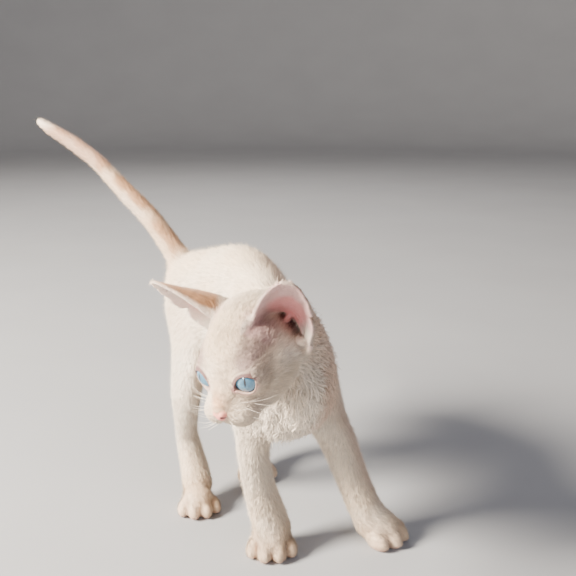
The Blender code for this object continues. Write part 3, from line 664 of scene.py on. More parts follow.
def make_skin():
    block = 6
    axes = [lines(-.082, .074, -.074, -.002, .00091, .00176, block), lines(-.080, .242, -.074, .012, .00091, .00176, block), lines(-.004, .228, .104, .188, .00091, .00176, block)]
    p, quads = nets(skin, axes, block)
    tri = triangles(p, quads)
    p = evened(p, tri)
    p = settle(skin, p, 2)
    p = evened(p, tri, .3)
    p = settle(skin, p, 1)
    # finer about the eyes, nose and mouth, and again along the lids
    for turn_ in (0, 1):
        def about(p, more):
            q = head_place(p)
            eye = np.minimum(np.linalg.norm(p - LIDS[1].c, axis=1), np.linalg.norm(p - LIDS[-1].c, axis=1)) / UNIT
            if turn_ == 0:
                return (eye < 12 + more) & (q[:, 1] > 19.5 - more) | (q[:, 1] > 34 - more) & (q[:, 2] < -6 + more)
            a = np.minimum.reduce([np.where(LIDS[k].at(p)[2][:, 1] > 1, LIDS[k].at(p)[0], 99) for k in (1, -1)])
            return (a < 1.3 + more) & (a > -1.5 - more) & (eye < 10 + more)
        chosen = about(p, 0)[tri].any(1)
        p, tri = finer(p, tri, chosen)
        part = about(p, 1)
        p = evened(p, tri, .4, part)
        p[part] = settle(skin, p[part], 3, .0004)
        p = evened(p, tri, .2, part)
        p[part] = settle(skin, p[part], 2, .0004)
    p[:, 2] = np.maximum(p[:, 2], .0)
    return p, tri

# ------------------------------------------------------------------ what each place of the skin is

lo, hi = (np.array(v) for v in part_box("eye_left"))
SHIFT = (lo + hi) / 2 - on_head(*EYE_AT)
PARTS = ["body", "fore_right", "fore_left", "hind_right", "hind_left", "tail", "head", "ear_left", "ear_right"]


def normals_of(p, tri):
    n = np.zeros_like(p)
    a, b, c = p[tri[:, 0]], p[tri[:, 1]], p[tri[:, 2]]
    f = np.cross(b - a, c - a)
    for i in range(3):
        for k in range(3):
            n[:, k] += np.bincount(tri[:, i], weights=f[:, k], minlength=len(p))
    return n / np.maximum(np.linalg.norm(n, axis=1), 1e-20)[:, None]


def spread(values, tri, rounds, share=.5):
    """Values evened over the mesh."""
    e = np.concatenate([tri[:, [0, 1]], tri[:, [1, 2]], tri[:, [2, 0]]])
    count = np.maximum(np.bincount(e[:, 0], minlength=len(values)), 1)
    v = np.array(values, float).reshape(len(values), -1)
    for _ in range(rounds):
        mean = np.stack([np.bincount(e[:, 0], weights=v[e[:, 1], k], minlength=len(v)) for k in range(v.shape[1])], 1) / count[:, None]
        v += (mean - v) * share
    return v.reshape(np.shape(values))


def mix(a, b, t):
    t = np.asarray(t)[:, None]
    return a * (1 - t) + b * t


def bell(q, c, r):
    """1 at c, falling to 0 about r away. q and c in the same frame."""
    return np.exp(-(((q - np.array(c, float)) / np.array(r, float)) ** 2).sum(1) * 1.4)


CREAM, WHITE, WARM = np.array([.88, .68, .485]), np.array([.91, .80, .68]), np.array([.83, .53, .30])
# MAUVE is the temples' thin-coated skin and painted shade; RED and DARK are painted shade in the ear's pits and canal
# and in the nostrils
TAN, PINK, MAUVE = np.array([.43, .205, .085]), np.array([.62, .24, .23]), np.array([.27, .172, .162])
RED, DARK, NOSE_RED = np.array([.30, .075, .075]), np.array([.070, .028, .028]), np.array([.74, .25, .22])


class Map:
    """Everything known at each point of the skin."""

    def __init__(self, p, tri):
        self.p, self.tri, self.n = p, tri, normals_of(p, tri)
        n = len(p)
        d = [near(BODY, p, .03)] + [near(g, p, .03) for g in LIMBS] + [near(TAIL_FORM, p, .03), near(HEAD, p, .03)]
        self.q = head_place(p)
        self.ear = {}
        for k in (1, -1):
            u = EAR_SKINS[k].local(p)
            self.ear[k] = u
            s = EAR_SKINS[k].shell(u)
            far = np.linalg.norm(u, axis=1) > 48
            d.append(np.where(far, .05, s * UNIT) - .0003)
        d = np.array(d)
        self.part = d.argmin(0)
        self.share = np.exp(-(d - d.min(0)) / .0035)
        self.share /= self.share.sum(0)
        self.share = spread(self.share.T, tri, 4).T
        self.body_d, self.tail_d = d[0], d[5]
        self.head = self.share[6]
        self.ears = self.share[7] + self.share[8]
        self.limbs = self.share[1:5].sum(0)
        self.tail = self.share[5]
        self.body = self.share[0]
        self.marks()
        self.lie()
        self.coat()

    def marks(self):
        """Colour and where there is no coat."""
        p, q, n = self.p, self.q, self.n
        up = n[:, 2]
        hn = n @ HM
        x = np.abs(q[:, 0])
        qa = np.stack([x, q[:, 1], q[:, 2]], 1)
        c = np.tile(CREAM, (len(p), 1))
        c = mix(c, WHITE, .6 * ramp(noise(p, .03, 31), -.6, .9))
        c = mix(c, CREAM * .93, .35 * ramp(noise(p, .012, 32), .1, 1.0))
        # body: whiter chest and belly, a warm shade along the back's end
        c = mix(c, WHITE, .5 * self.body * ramp(up, -.1, -.8))
        c = mix(c, TAN, self.tail * (.30 + .60 * ramp(up + .5 * noise(p, .013, 33), .0, .8)))
        c = mix(c, np.array([.44, .24, .16]), self.tail * .66 * ramp(p[:, 2], .186, .199) * ramp(p[:, 2], .219, .213))
        c = mix(c, WHITE, self.tail * .6 * ramp(p[:, 2], .214, .219))
        c = mix(c, np.array([.90, .70, .46]), .40 * self.body * ramp(up, .1, .8))
        c = mix(c, WHITE, .5 * self.limbs * ramp(p[:, 2], .016, .05))
        c = mix(c, WHITE, .5 * self.body * chest_share(p) * ramp(n[:, 1], .3, -.3))
        c = mix(c, WARM, .50 * self.limbs * ramp(p[:, 2], .024, .006))
        c = mix(c, PINK, .45 * self.limbs * ramp(p[:, 2], .0035, .0008))
        # painted shade: the narrow creases between the toes darkened
        for g, share in zip(LIMBS, self.share[1:5]):
            toes = np.sort([near(b, p, .006) for b, k in g.parts if k < .002], axis=0)
            crease_shade = np.exp(-((toes[1] - toes[0]) / .0008) ** 2) * ramp(toes[1], .0032, .0008)
            c = mix(c, np.array([.34, .19, .12]), .72 * crease_shade * share)
        # head
        h = self.head
        c = mix(c, WARM, h * .62 * bell(qa, (0, 33, -3), (6, 15, 10)))
        c = mix(c, WARM, h * .30 * bell(qa, (4, 18, 14), (11, 17, 12)))
        # the temples: mauve skin showing through the thin coat, darkened further as painted shade
        temple = np.minimum(1.5 * bell(qa, (16.5, 15.5, 12), (8, 10.5, 8)) + 1.1 * bell(qa, (15, 7, 18), (6.5, 9, 7)) + .8 * bell(qa, (13, 22.5, 8), (6.5, 6, 5)) + .5 * bell(qa, (20, 8, 8), (6, 8, 6)), 1) * h
        c = mix(c, MAUVE, .90 * temple)
        c = mix(c, PINK * 1.05, .40 * h * bell(qa, (12, 3, 20), (5, 8, 6)))
        c = mix(c, WHITE, .8 * h * bell(qa, (24, 4, -1), (5, 9, 5)))
        # mauve beside and over the eye and on the muzzle's side: painted shade, partly skin showing through the thin
        # coat
        c = mix(c, MAUVE, h * .55 * bell(qa, (18, 21, 0), (6, 8, 6)))
        c = mix(c, MAUVE * 1.25, h * .40 * bell(qa, (13, 27, -13), (7, 8, 6)))
        c = mix(c, MAUVE, h * .35 * bell(qa, (12, 25, 6), (7, 5, 4)))
        c = mix(c, WHITE, h * .75 * bell(qa, (7, 31, -17), (7, 8, 6)))
        c = mix(c, WHITE, h * .6 * bell(qa, (0, 26, -24), (9, 9, 5)))
        c = mix(c, np.array([.90, .68, .43]), .60 * h * bell(qa, (0, 14, 20), (12, 22, 14)) * (1 - temple))
        # the nose leather, the lip line, the lids
        pad = near(NOSE_PAD, p, .01) / UNIT
        leather = ramp(pad, .55, .12) * ramp(q[:, 1], 35.2, 37.2)
        c = mix(c, mix(np.tile(NOSE_RED, (len(p), 1)), WARM, .35 * ramp(q[:, 2], -11.5, -8)), leather)
        c = mix(c, np.array([.76, .40, .20]), .78 * h * bell(qa, (1.0, 36.5, -5.5), (5, 5.5, 5)))
        # painted shade: the nostrils' holes dark
        holes = np.min([near(g, p, .01) for g in NOSTRILS], axis=0) / UNIT
        c = mix(c, DARK * 2.2, ramp(holes, .32, .02))
        lip = np.min([near(g, p, .01) for g in [LIP] + MOUTHS], axis=0) / UNIT
        c = mix(c, np.array([.42, .17, .14]), .75 * ramp(lip, .55, .12))
        self.leather = np.maximum(leather, ramp(lip, .7, .2))
        bare = self.leather.copy()
        self.eye_d = np.full(len(p), 99.)
        for k in (1, -1):
            a, r, e = LIDS[k].at(p)
            front = (e[:, 1] > 1.5) & (r < EYE_R + 3.5)
            a = np.where(front, a, 99.)
            self.eye_d = np.minimum(self.eye_d, a)
            # the lid's dark rim, wider and darker along the upper lid: its own colour, and painted shade under the
            # upper lid
            rim = np.where(front, ramp(a, np.where(e[:, 2] > .5, 1.95, 1.05), np.where(e[:, 2] > .5, 1.15, .62)), 0) * (.62 + .38 * ramp(e[:, 2], -1, 1.5))
            c = mix(c, np.array([.13, .06, .06]), rim * .95)
            c = mix(c, PINK * 1.1, np.where(front, .32 * ramp(a, 1.7, .9) * (1 - rim), 0))
            # the reddish inner corner of the eye: its own colour, darkened as painted shade
            inner = np.where(front, np.exp(-(((e[:, 0] + 7.6) / 2.3) ** 2 + ((e[:, 2] + .6) / 2.6) ** 2)), 0)
            c = mix(c, np.array([.36, .15, .15]), inner * .75)
            bare = np.maximum(bare, np.where(front, ramp(a, 1.35, .95), 0))
            bare = np.maximum(bare, inner * .7)
        # the ears: pink inside, tan behind, a pale rim, and painted shade: dark in the canal and its pits, darker along
        # the crease at the root
        self.inside = np.zeros(len(p))
        self.rim = np.zeros(len(p))
        self.back = np.zeros(len(p))
        for k in (1, -1):
            u = self.ear[k]
            x, y, z = u.T
            en = n @ EAR_SKINS[k].e.m
            close = ((np.abs(x) < 19) & (y > -20) & (y < 38) & (z > -20) & (z < 9)).astype(float)
            sheet = EAR_SKINS[k].e.sheet(x, y)
            half = EAR_SKINS[k].e.half(y)
            shell = ramp(np.abs(z - sheet), 3.6, 2.2)
            floor = np.interp(x, [r[0] for r in EAR_FLOOR], [r[1] for r in EAR_FLOOR])
            above = ramp(y - floor, -2.2, 1.6)
            front = ramp(z - sheet, -.25, .35) * np.maximum(above, 0) * close * ramp(np.abs(x), half + 2.5, half)
            front *= ramp(z - sheet, 15, 8) * np.where((y < 2), 1, shell)
            edge = np.maximum(ramp(np.abs(x), half - 2.4, half - .6), ramp(y, EAR_LONG - 5, EAR_LONG - 1.5)) * shell * close * ramp(y, -16, -13)
            back = ramp(sheet - z, -.1, .45) * shell * close * ramp(y, -3, 3)
            tint = mix(np.tile(PINK, (len(p), 1)), np.array([.56, .36, .335]), np.clip(ramp(np.hypot((x + 1) / 11.5, (y - 3) / 17), .62, 1.05), 0, .9))
            tint = mix(tint, WHITE, np.full(len(p), .0 if k > 0 else .55))
            tint = mix(tint, np.array([.62, .24, .24]), bell(u, (-1, 4, -8), (10, 8, 8)) * .7)
            # painted shade on the ear's floor beside the temple, mauve like the temples
            tint = mix(tint, MAUVE * .92, bell(u, (9, -4, -2), (7, 6, 8)) * .75)
            pit = np.maximum.reduce([bell(u, (1.9, -6.4, -9.8), (3.2, 3.4, 5)), bell(u, (-3.4, -9.6, -9.5), (4.4, 3.6, 4.8)), bell(u, (-6.8, -12.0, -9.0), (3.4, 4.2, 4)),
                                     .8 * bell(u, (-3.5, -3, -12), (7, 5.5, 4.5))])
            open_ = ramp(z - sheet, -.35, .2) * close
            c = mix(c, tint, np.clip(2.2 * (bell(u, (-4, -7, -9), (8.5, 9.5, 6.5)) - .12), 0, 1) * open_)
            # painted shade: the pits of the ear's floor reddened and darkened, the canal darkest
            tint = mix(tint, RED, np.clip(pit * 1.25, 0, .96))
            tint = mix(tint, DARK, np.clip(bell(u, (-3.4, -10.0, -10.4), (3.2, 2.6, 3.4)) + bell(u, (-6.8, -12.8, -9.6), (2.2, 3.0, 3)) + bell(u, (1.9, -6.6, -10.8), (1.8, 2.0, 3.0)), 0, .85))
            pale = bell(u, (-12.5, -8, -3), (3.4, 7.5, 5)) + bell(u, (-9, -15, -1.5), (3.4, 3.2, 3.2))
            tint = mix(tint, WHITE, np.clip(pale, 0, .85))
            front = np.maximum(front, np.clip(2.2 * (bell(u, (-4, -7, -9.5), (7.5, 8.5, 6)) - .12), 0, 1) * open_)
            c = mix(c, tint, front)
            c = mix(c, TAN * (1.05 + .10 * noise(p, .004, 35))[:, None], .96 * back * (1 - front))
            c = mix(c, WHITE, .75 * edge * (1 - .6 * front))
            # painted shade along the crease where the ear's floor meets the head
            crease_shade = np.exp(-((y - floor + .5 + .2 * (z - 2)) / 1.3) ** 2) * ramp(x, 0, 4) * ramp(z, -6, -2) * close
            c = mix(c, np.array([.33, .19, .19]), .62 * crease_shade)
            self.inside = np.maximum(self.inside, front * (1 - np.clip(pale, 0, 1)))
            self.rim = np.maximum(self.rim, edge)
            self.back = np.maximum(self.back, back)
            bare = np.maximum(bare, np.clip(pit * 1.6, 0, 1) * front)
        # painted shade: a warm tan on the left side of the neck, shoulder and flank's front, turned from the key light,
        # and on the left foreleg's outer side
        left = ramp(n[:, 0], -.1, .7) * self.body * ramp(p[:, 1], .09, .03)
        c = mix(c, np.array([.60, .32, .20]), .62 * left)
        c = mix(c, np.array([.66, .38, .27]), .45 * self.share[2] * ramp(n[:, 0], -.2, .6) * ramp(p[:, 2], .015, .04))
        self.keep = np.clip(self.back + .8 * self.tail + temple + .55 * self.inside + .5 * left + self.leather, 0, 1)
        self.temple = temple
        self.colour = np.clip(c, 0, 1)
        self.bare = np.clip(bare, 0, 1)

    def lie(self):
        """Which way the coat lies."""
        p, q, n = self.p, self.q, self.n
        down, back = np.array([0, 0, -1.0]), np.array([0, 1.0, 0])
        away = p - (HEAD_AT + np.array([.004, .004, -.004]))
        away /= np.linalg.norm(away, axis=1)[:, None]
        side = np.sign(n[:, 0])[:, None] * np.array([1.0, 0, 0])
        f = np.tile(back - np.array([0, 0, .22]), (len(p), 1)) + down * (.55 * np.abs(n[:, 0]))[:, None] * ramp(p[:, 1], .05, .0)[:, None]
        f = mix(f, down + back * .22 + side * .1, ramp(p[:, 1], .022, -.006) * ramp(p[:, 2], .135, .10))
        f = mix(f, away + down * .25, ramp(np.linalg.norm(p - HEAD_AT, axis=1), .058, .034))
        f = mix(f, down * .75 + back * .5, ramp(p[:, 1], .085, .12) * ramp(p[:, 2], .12, .09))
        body = f
        limb = np.tile(down + back * .16, (len(p), 1))
        for (at, toward) in (((-.0168, -.0100), -25), ((.0572, -.0258), 32), ((-.0318, .0516), -14), ((.0194, .0756), -6)):
            a = np.radians(toward)
            toe = np.array([np.sin(a), -np.cos(a), -.25])
            w = ramp(np.hypot(p[:, 0] - at[0], p[:, 1] - at[1]), .034, .024) * ramp(p[:, 2], .024, .011)
            limb = mix(limb, toe, w)
        t = TAIL_FORM
        k = np.argmin((t.c ** 2).sum(1)[None] - 2 * p @ t.c.T, axis=1)
        along = np.gradient(t.c, axis=0)
        tail = along[k] / np.linalg.norm(along[k], axis=1)[:, None]
        self.tip = ramp((n * tail).sum(1), .30, .85) * self.tail * ramp(p[:, 2], .19, .205)
        w = q - np.array([0, 35, -8.5])
        w = w / np.linalg.norm(w, axis=1)[:, None]
        w = w + np.stack([np.zeros(len(p)), -.5 * ramp(q[:, 1], 30, 5), -.35 * ramp(q[:, 2], 2, -12)], 1)
        head = w @ HM.T
        f = self.body[:, None] * body + self.limbs[:, None] * limb + self.tail[:, None] * tail + self.head[:, None] * head
        for k, share in ((1, self.share[7]), (-1, self.share[8])):
            u = self.ear[k]
            half = EAR_SKINS[k].e.half(u[:, 1])
            v = np.stack([.9 * (u[:, 0] / np.maximum(half, 2)) ** 3, np.ones(len(p)), .15 * self.rim], 1)
            f = f + share[:, None] * (v @ EAR_SKINS[k].e.m.T)
        f = spread(f, self.tri, 8)
        f = f - n * (f * n).sum(1)[:, None]
        self.flow = f / np.maximum(np.linalg.norm(f, axis=1), 1e-9)[:, None]

    def coat(self):
        """The tufts' length, width, lift, how close they grow and how they wave."""
        p, q = self.p, self.q
        x = np.abs(q[:, 0])
        qa = np.stack([x, q[:, 1], q[:, 2]], 1)
        chest = chest_share(p)
        body = 4.9 + 1.0 * chest + .5 * ramp(p[:, 2], .1, .08)
        limb = 3.7 - 1.0 * ramp(p[:, 2], .040, .012)
        tail = 4.2 + .8 * ramp(p[:, 2], .20, .222)
        head = 3.1 - 1.15 * ramp(q[:, 1], 14, 30) - .2 * ramp(q[:, 2], 4, 14) + 1.4 * bell(qa, (20, -2, -12), (10, 10, 9)) + 3.4 * bell(qa, (24, 2, -4), (6, 9, 6))
        head = np.where(q[:, 1] > 31, np.minimum(head, 1.6), head)
        head -= 1.0 * self.temple
        ear = 1.9 - .6 * self.inside + .7 * self.rim
        self.length = (self.body * body + self.limbs * limb + self.tail * tail + self.head * head + self.ears * ear) * MM
        self.length *= (1 - .5 * ramp(self.eye_d, 4, 1.2)) * (1 - .35 * self.tip)
        wide = self.body * (.32 + .20 * chest) + self.limbs * .30 + self.tail * .28 + self.head * .24 + self.ears * .19
        self.width = wide * MM
        lift = self.body * (22 + 3 * chest) + self.limbs * (27 + 6 * ramp(p[:, 2], .036, .014)) + self.tail * (34 + 3 * ramp(p[:, 2], .20, .222)) + self.head * 26 + self.ears * (17 + 14 * self.rim + 5 * self.inside)
        lift += 20 * self.head * bell(qa, (24, 2, -4), (7, 9, 7))
        lift += 42 * self.tip - 9 * self.temple
        self.lift = np.radians(lift)
        self.wave = self.body * (.03 + .10 * chest) + self.limbs * (.02 + .05 * ramp(p[:, 2], .04, .07)) + self.tail * .02 + self.head * .02
        self.wave += .09 * self.head * bell(qa, (24, 0, -5), (8, 9, 8))
        close = self.body * 1.0 + self.limbs * 1.35 + self.tail * 1.5 + self.head * 2.6 + self.ears * 2.4
        close *= 1 - .10 * self.temple
        close *= 1 + .6 * self.head * ramp(q[:, 1], 24, 32)
        close *= 1 - .50 * self.inside * (1 - .8 * self.rim)
        close *= 1 + .9 * self.rim
        close *= ramp(self.bare, .75, .2)
        close *= ramp(p[:, 2], .0006, .0022)
        self.close = close
        # how fast the skin bends away along the coat's lie
        e = np.concatenate([self.tri[:, [0, 1]], self.tri[:, [1, 2]], self.tri[:, [2, 0]]])
        e = np.concatenate([e, e[:, ::-1]])
        dx, dn = p[e[:, 1]] - p[e[:, 0]], self.n[e[:, 1]] - self.n[e[:, 0]]
        l2 = np.maximum((dx * dx).sum(1), 1e-12)
        w = (dx * self.flow[e[:, 0]]).sum(1) ** 2 / l2
        k = (dn * dx).sum(1) / l2
        top = np.bincount(e[:, 0], weights=w * k, minlength=len(p))
        bot = np.bincount(e[:, 0], weights=w, minlength=len(p))
        bend = spread(np.clip(top / np.maximum(bot, 1e-9), -250, 250), self.tri, 6)
        self.bend = bend
        # painted shade: the colour darkened and warmed in creases between toes and under folds
        hollow = spread(np.clip(np.bincount(e[:, 0], weights=k, minlength=len(p)) / np.maximum(np.bincount(e[:, 0], minlength=len(p)), 1), -600, 600), self.tri, 3)
        crease_shade = ramp(hollow, -35, -190) * (self.limbs + .45 * self.body + .2 * self.head) * (1 - self.tail) * (1 - np.clip(self.bare + self.inside, 0, 1))
        self.colour = np.clip(self.colour * (1 - crease_shade[:, None] * np.array([.30, .42, .50])), 0, 1)
        self.n_soft = spread(self.n, self.tri, 3)
        self.n_soft /= np.maximum(np.linalg.norm(self.n_soft, axis=1), 1e-9)[:, None]


# ------------------------------------------------------------------ meshes


def mesh_piece(name, p, tri, colour=None, uv=None, normals=None, shift=True):
    me = bpy.data.meshes.new(name)
    me.vertices.add(len(p))
    me.vertices.foreach_set("co", np.ascontiguousarray(p + (SHIFT if shift else 0), np.float32).ravel())
    me.loops.add(tri.size)
    me.loops.foreach_set("vertex_index", np.ascontiguousarray(tri, np.int32).ravel())
    me.polygons.add(len(tri))
    me.polygons.foreach_set("loop_start", np.arange(0, tri.size, 3, dtype=np.int32))
    me.polygons.foreach_set("loop_total", np.full(len(tri), 3, np.int32))
    me.update(calc_edges=True)
    me.polygons.foreach_set("use_smooth", np.ones(len(tri), bool))
    if uv is not None:
        layer = me.uv_layers.new(name="OFBake")
        layer.uv.foreach_set("vector", np.ascontiguousarray(uv, np.float32).ravel())
    if colour is not None:
        a = me.color_attributes.new("coat", "FLOAT_COLOR", "POINT")
        rgba = np.ones((len(p), 4), np.float32)
        rgba[:, :3] = colour
        a.data.foreach_set("color", rgba.ravel())
    if normals is not None:
        me.normals_split_custom_set_from_vertices(normals.astype(np.float32))
    ob = bpy.data.objects.new(name, me)
    bpy.context.scene.collection.objects.link(ob)
    return ob


def unwrapped(p, n, tri, part):
    """The skin opened out: each part's six sides laid side by side in one square, all to one scale. Gives a place for each corner."""
    fn = n[tri].mean(1)
    side = np.abs(fn).argmax(1)
    side = side * 2 + (fn[np.arange(len(tri)), side] < 0)
    patch = part[tri[:, 0]] * 6 + side
    uv = np.zeros((len(tri), 3, 2))
    boxes = []
    for k in np.unique(patch):
        m = patch == k
        a = (k % 6) // 2
        b, c = [i for i in range(3) if i != a]
        w = p[tri[m]][:, :, [b, c]]
        w0 = w.reshape(-1, 2).min(0)
        uv[m] = w - w0
        boxes.append((k, *(w.reshape(-1, 2).max(0) - w0)))
    boxes.sort(key=lambda r: -r[2])
    total = np.sqrt(sum((w + .004) * (h + .004) for _, w, h in boxes)) * 1.22
    total = max(total, max(w for _, w, h in boxes) + .005)
    x = y = row = 0
    places = {}
    for k, w, h in boxes:
        if x + w + .004 > total:
            x, y, row = 0, y + row + .004, 0
        places[k] = (x, y)
        x, row = x + w + .004, max(row, h)
    size = max(total, y + row)
    for k, at in places.items():
        uv[patch == k] += at
    return .004 + .992 * uv / size


def tufts(name, m, tri_ids, uv, count, rings, rng):
    """Solid tufts rooted all over the chosen triangles of the skin, closest where the map says so."""
    tri = m.tri[tri_ids]
    a, b, c = m.p[tri[:, 0]], m.p[tri[:, 1]], m.p[tri[:, 2]]
    area = np.linalg.norm(np.cross(b - a, c - a), axis=1) / 2
    w = area * m.close[tri].mean(1)
    total = np.cumsum(w)
    at = (np.arange(count) + rng.random(count)) * total[-1] / count
    t = np.minimum(np.searchsorted(total, at), len(tri) - 1)
    u, v = rng.random(count), rng.random(count)
    fold = u + v > 1
    u[fold], v[fold] = 1 - u[fold], 1 - v[fold]
    bary = np.stack([1 - u - v, u, v], 1)

    def pick(x):
        x = x[tri[t]]
        return (x * bary[:, :, None]).sum(1) if x.ndim == 3 else (x * bary).sum(1)

    keep = rng.random(count) < np.clip(pick(m.close) * 3, 0, 1)
    t, bary = t[keep], bary[keep]
    count = len(t)
    p, n, f = pick(m.p), pick(m.n_soft), pick(m.flow)
    n /= np.linalg.norm(n, axis=1)[:, None]
    side = np.cross(n, f)
    loose = .6 + .6 * chest_share(p) + .35 * pick(m.head)
    swing = loose * (np.radians(12) * rng.normal(size=count) + np.radians(13) * noise(p, .010, 51) + np.radians(9) * (1 - .6 * pick(m.head)) * noise(p, .0036, 52))
    f = f * np.cos(swing)[:, None] + side * np.sin(swing)[:, None]
    f -= n * (f * n).sum(1)[:, None]
    f /= np.maximum(np.linalg.norm(f, axis=1), 1e-9)[:, None]
    side = np.cross(n, f)
    length = pick(m.length) * np.clip(rng.normal(1, .2, count), .5, 1.6)
    width = pick(m.width) * (.75 + .5 * rng.random(count))
    lift = pick(m.lift) * np.clip(1 + .34 * rng.normal(size=count) + .24 * (1 - .65 * pick(m.head)) * noise(p, .0042, 55), .15, 2.2)
    stray = rng.random(count) < .11 - .07 * chest_share(p)
    length = np.where(stray, length * 1.28, length)
    width = np.where(stray, width * .5, width)
    lift = np.where(stray, lift + np.radians(20), lift)
    bend, wave = pick(m.bend), pick(m.wave)
    phase = 1.9 * noise(p, .013, 53) * 2 + rng.normal(size=count) * .5
    s = (np.linspace(0, 1, rings + 1) ** .9)[None, :]
    L, sl, cl = length[:, None], np.sin(lift)[:, None], np.cos(lift)[:, None]
    swell = np.sin(s * 2 * np.pi * 1.05 + phase[:, None]) - np.sin(phase)[:, None]
    along = L * s * cl
    out = L * s * sl * (1 - .42 * s if rings > 1 else .84) - np.clip(bend, -60, 250)[:, None] * (L * s) ** 2 / 2 - .00016
    out = out + L * wave[:, None] * .55 * swell * s
    across = L * wave[:, None] * swell * (.3 + .7 * s)
    mid = p[:, None] + f[:, None] * along[..., None] + n[:, None] * out[..., None] + side[:, None] * across[..., None]
    taper = np.interp(s[0], [0, .3, .75, 1], [.8, 1, .55, 0])[:-1]
    half = width[:, None] * taper[None] / 2
    ring = mid[:, :-1]
    left = ring - side[:, None] * half[..., None]
    right = ring + side[:, None] * half[..., None]
    top = ring + n[:, None] * half[..., None] * .75
    verts = np.concatenate([np.stack([left, right, top], 2).reshape(count, -1, 3), mid[:, -1:]], 1)
    verts[..., 2] = np.maximum(verts[..., 2], .0002 - SHIFT[2])
    nv = rings * 3 + 1
    lean = f * (.24 * noise(p, .0016, 56) + .22 * rng.normal(size=count))[:, None] + side * (.26 * noise(p, .0016, 57) + .22 * rng.normal(size=count))[:, None]
    lean = n * .9 + lean * (.35 + .65 * (1 - pick(m.ears)))[:, None]
    nn = np.stack([np.broadcast_to(lean[:, None] - side[:, None] * .34 * g, (count, rings, 3)) for g in (1, -1, 0)], 2).reshape(count, -1, 3)
    nn = np.concatenate([nn, lean[:, None] + f[:, None] * .25], 1)
    nn /= np.linalg.norm(nn, axis=2)[..., None]
    faces = [(0, 2, 1)]
    for r in range(rings - 1):
        q0, q1 = r * 3, r * 3 + 3
        for i, j in ((0, 1), (1, 2), (2, 0)):
            faces += [(q0 + i, q0 + j, q1 + j), (q0 + i, q1 + j, q1 + i)]
    q0 = (rings - 1) * 3
    faces += [(q0, q0 + 1, nv - 1), (q0 + 1, q0 + 2, nv - 1), (q0 + 2, q0, nv - 1)]
    faces = np.array(faces)
    tris = (faces[None] + (np.arange(count) * nv)[:, None, None]).reshape(-1, 3)
    root = (uv[tri_ids][t] * bary[:, :, None]).sum(1)
    local = np.concatenate([np.stack([np.stack([x * half / np.maximum(half.max(1, keepdims=True), 1e-9), np.broadcast_to(s[:, :-1] - .5, half.shape)], 2) for x in (-.5, .5, .0)], 2).reshape(count, -1, 2),
                            np.tile([[[0, .5]]], (count, 1, 1))], 1) * .003
    place = np.clip(root[:, None] + local, 0, 1).reshape(-1, 2)
    colour = pick(m.colour) * (1 + .065 * rng.normal(size=count) + .065 * noise(p, .0030, 58) + .075 * noise(p, .0012, 59))[:, None]
    colour = mix(colour, WHITE, np.clip(.16 + .14 * rng.normal(size=count), 0, .6) * (1 - .85 * pick(m.keep)))
    # painted shade along each tuft: darker at its root, deep in the coat, a little lighter at its tip
    shade = np.interp(s[0], [0, .35, 1], [.66, .92, 1.06])
    shade = np.concatenate([np.repeat(shade[:-1], 3), shade[-1:]])
    colours = np.clip(colour[:, None] * shade[None, :, None], 0, 1).reshape(-1, 3)
    return mesh_piece(name, verts.reshape(-1, 3), tris, colours, place[tris].reshape(-1, 2), nn.reshape(-1, 3))


def hairs(name, roots, ways, lengths, radii, curls, rng, steps=9):
    """Long single hairs as thin tapering tubes."""
    verts, tris, nrm = [], [], []
    for p, d, L, r, curl in zip(roots, ways, lengths, radii, curls):
        d = unit(d)
        side = unit(np.cross(d, (0.1, .2, 1)))
        up = np.cross(d, side)
        ph = rng.random() * 6.28
        base = len(verts)
        for i in range(steps + 1):
            s = i / steps
            c = p + d * L * s + up * (-.22 * L * s * s) + (side * np.sin(s * curl + ph) + up * np.cos(s * curl * .8 + ph)) * L * .045 * s
            w = r * (1 - s) ** .7 if i < steps else 0
            for k in range(3):
                o = side * np.cos(k * 2.094) + up * np.sin(k * 2.094)
                verts.append(c + o * max(w, 1e-5))
                nrm.append(o)
        for i in range(steps):
            for k in range(3):
                a, b = base + i * 3 + k, base + i * 3 + (k + 1) % 3
                tris += [(a, b, b + 3), (a, b + 3, a + 3)]
        e = base + steps * 3
        tris += [(base, base + 2, base + 1), (e, e + 1, e + 2)]
    v = np.array(verts)
    t = np.array(tris)
    uv = np.tile([[[.5, .5], [.503, .5], [.5, .503]]], (len(t), 1, 1)) + (rng.random((len(t), 1, 2)) - .5) * .9
    return mesh_piece(name, v, t, np.tile(WHITE, (len(v), 1)), uv, np.array(nrm))


# ------------------------------------------------------------------ materials


